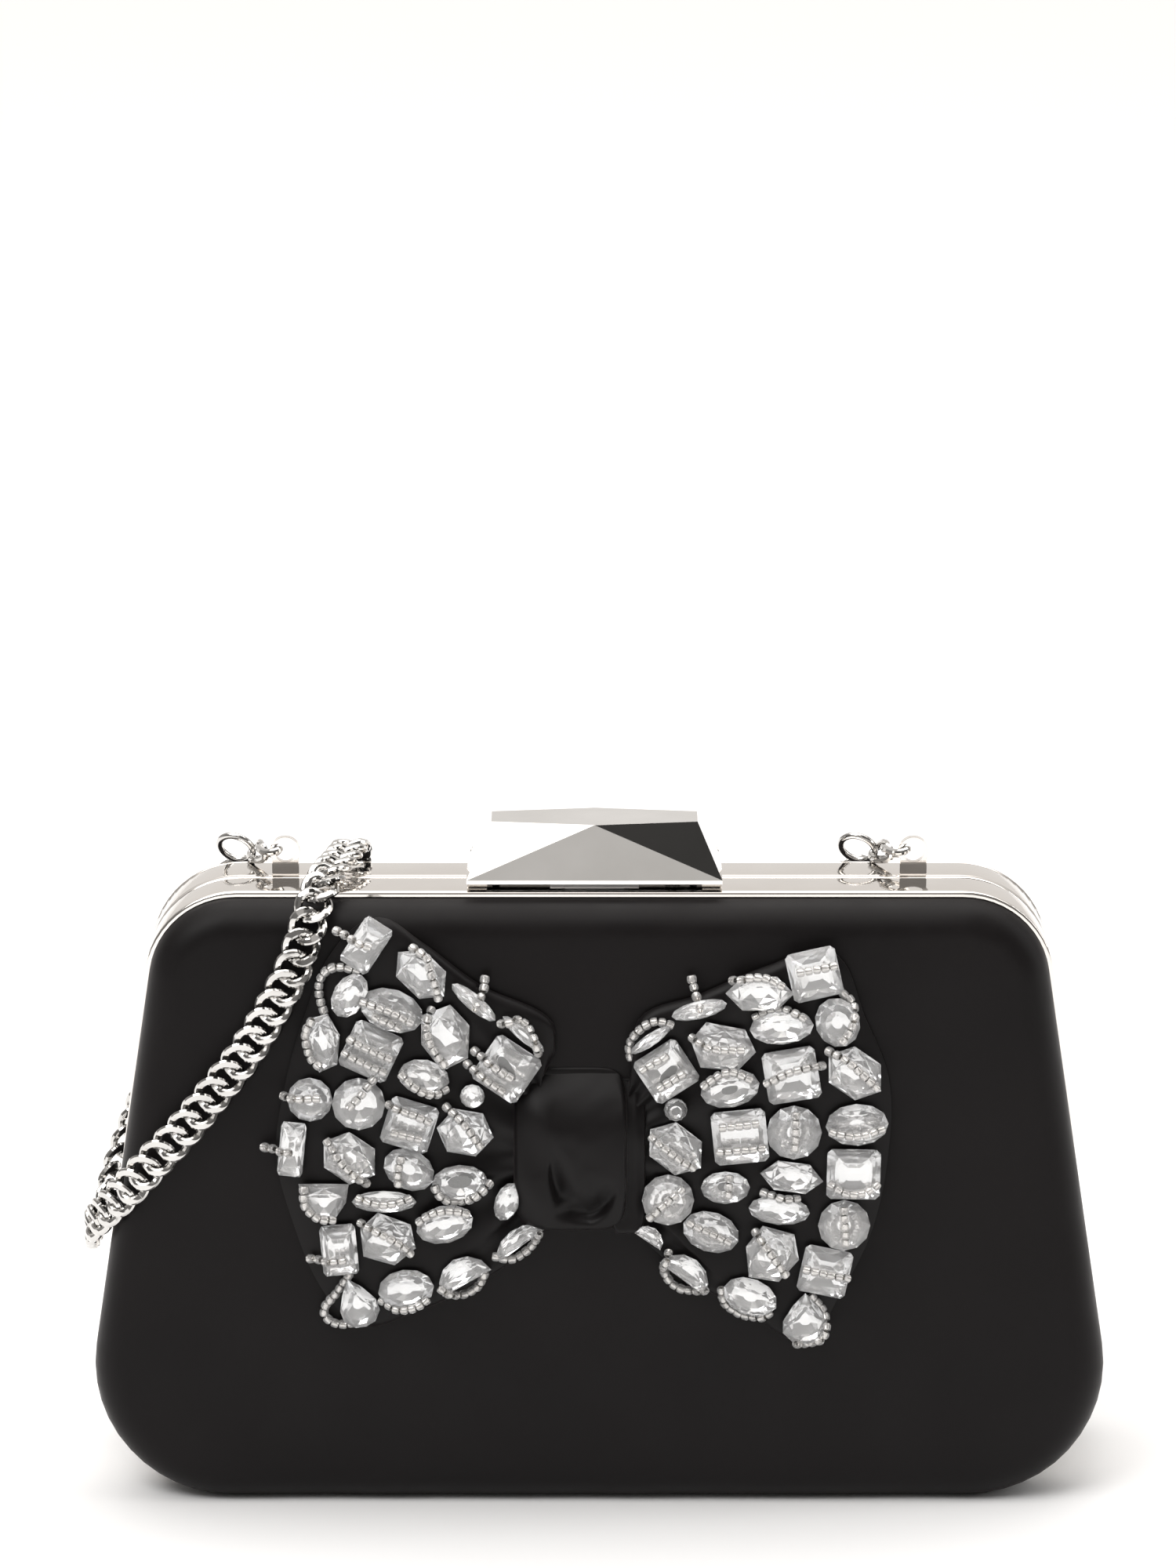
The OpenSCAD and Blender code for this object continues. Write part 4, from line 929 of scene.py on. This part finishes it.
def strands(name, node, rows, trees, seed):
    """Beads threaded along each strand, lying on whatever is under them."""
    rng = random.Random(seed)
    shape, faces, lining = bead_shape()
    parts = []
    for row in rows:
        even = face_route(row, BEAD_LEN + BEAD_GAP)
        last = len(even) - 1
        heights = [surface_under(trees, p.x, p.z) + BEAD_R * 0.96 for p in even]
        for _ in range(2):
            heights = [max(h, 0.5 * h + 0.25 * (heights[max(k - 1, 0)] + heights[min(k + 1, last)]))
                       for k, h in enumerate(heights)]
        spots = [on_face(p.x, p.z, h) for p, h in zip(even, heights)]
        for k, spot in enumerate(spots):
            along = (spots[min(k + 1, last)] - spots[max(k - 1, 0)]).normalized()
            side = along.cross(Vector((0, -1, 0))).normalized()
            up = side.cross(along)
            wobble = Matrix.Rotation(rng.uniform(-0.12, 0.12), 3, up)
            size = rng.uniform(0.93, 1.04)
            verts = [spot + (wobble @ (along * q.x + side * q.y + up * q.z)) * (size * MM) for q in shape]
            parts.append((verts, faces, lining))
    verts, faces, slots = grown(parts)
    obj = piece(name, verts, faces, "front_half", [BEAD_GLASS, SILVER_LINING], 40, slots)
    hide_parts(node)


def tree_of(obj):
    mesh = obj.data
    return BVHTree.FromPolygons([v.co for v in mesh.vertices], [tuple(p.vertices) for p in mesh.polygons])


trees = [tree_of(o) for o in gems + wings]
strands("left_bead_strands", "bead_strands_left", LEFT_STRANDS, trees, 11)
strands("right_bead_strands", "bead_strands_right", RIGHT_STRANDS, trees, 12)


# ---- Studio ----
def floor():
    mesh = bpy.data.meshes.new("studio_floor")
    r = 12.0                # half its side
    mesh.from_pydata([(-r, -r, 0), (r, -r, 0), (r, r, 0), (-r, r, 0)], [], [(0, 1, 2, 3)])
    m, _, _, shader = material("floor_paper")
    shader.inputs["Base Color"].default_value = (0.95, 0.955, 0.96, 1)
    shader.inputs["Roughness"].default_value = 0.9
    shader.inputs["Specular IOR Level"].default_value = 0.1
    mesh.materials.append(m)
    obj = bpy.data.objects.new("studio_floor", mesh)
    bpy.context.scene.collection.objects.link(obj)


def area_light(name, place, target, size, power):
    data = bpy.data.lights.new(name, "AREA")
    data.shape = "RECTANGLE"
    data.size, data.size_y = size
    data.energy = power
    obj = bpy.data.objects.new(name, data)
    bpy.context.scene.collection.objects.link(obj)
    obj.location = place
    obj.rotation_euler = (Vector(target) - Vector(place)).to_track_quat("-Z", "Y").to_euler()


def stepped(nodes, links, value, start, stop, low, high):
    return mapped(nodes, links, value, start, stop, low, high, "SMOOTHSTEP")


def combined(nodes, links, operation, a, b):
    n = nodes.new("ShaderNodeMath")
    n.operation = operation
    links.new(a, n.inputs[0])
    links.new(b, n.inputs[1])
    return n.outputs["Value"]


def world():
    """A white studio: bright behind, brighter overhead, grey in front and at the sides.

    A bright card stands high in front, and a dark flag high at the right.
    """
    w = bpy.data.worlds.new("studio")
    bpy.context.scene.world = w
    w.use_nodes = True
    nodes, links = w.node_tree.nodes, w.node_tree.links
    background = nodes["Background"]
    coord = nodes.new("ShaderNodeTexCoord")
    split = nodes.new("ShaderNodeSeparateXYZ")
    links.new(coord.outputs["Generated"], split.inputs["Vector"])
    sideways = nodes.new("ShaderNodeMath")
    sideways.operation = "ABSOLUTE"
    links.new(split.outputs["X"], sideways.inputs[0])

    def patch(centre, inner, outer, inside, outside):
        """One value within inner of a direction, and another beyond outer."""
        gap = nodes.new("ShaderNodeVectorMath")
        gap.operation = "DISTANCE"
        gap.inputs[1].default_value = centre
        links.new(coord.outputs["Generated"], gap.inputs[0])
        return stepped(nodes, links, gap.outputs["Value"], inner, outer, inside, outside)

    back = stepped(nodes, links, split.outputs["Y"], start=-0.9, stop=0.5, low=0.22, high=0.80)
    sides = stepped(nodes, links, sideways.outputs["Value"], start=0.3, stop=0.85, low=1.0, high=0.45)
    ceiling = stepped(nodes, links, split.outputs["Z"], start=0.66, stop=0.80, low=0.0, high=2.1)
    card = patch((0, -0.81, 0.59), inner=0.14, outer=0.28, inside=0.56, outside=0.0)
    flag = patch((0.36, -0.44, 0.82), inner=0.27, outer=0.35, inside=0.022, outside=1.0)
    lit = combined(nodes, links, "MAXIMUM", combined(nodes, links, "MULTIPLY", back, sides), ceiling)
    lit = combined(nodes, links, "MULTIPLY", combined(nodes, links, "MAXIMUM", lit, card), flag)
    links.new(lit, background.inputs["Strength"])
    background.inputs["Color"].default_value = (1.0, 0.965, 0.93, 1)


BAG_MIDDLE = (0, 0, 0.06)
floor()
world()
area_light("key_softbox", (-0.75, -0.75, 1.35), BAG_MIDDLE, size=(0.9, 0.7), power=9)
area_light("top_softbox", (0.1, 0.35, 1.5), BAG_MIDDLE, size=(1.4, 0.8), power=4)
area_light("side_strip", (1.3, 0.1, 0.7), BAG_MIDDLE, size=(0.25, 1.0), power=3)
bpy.context.scene.view_settings.view_transform = "Standard"
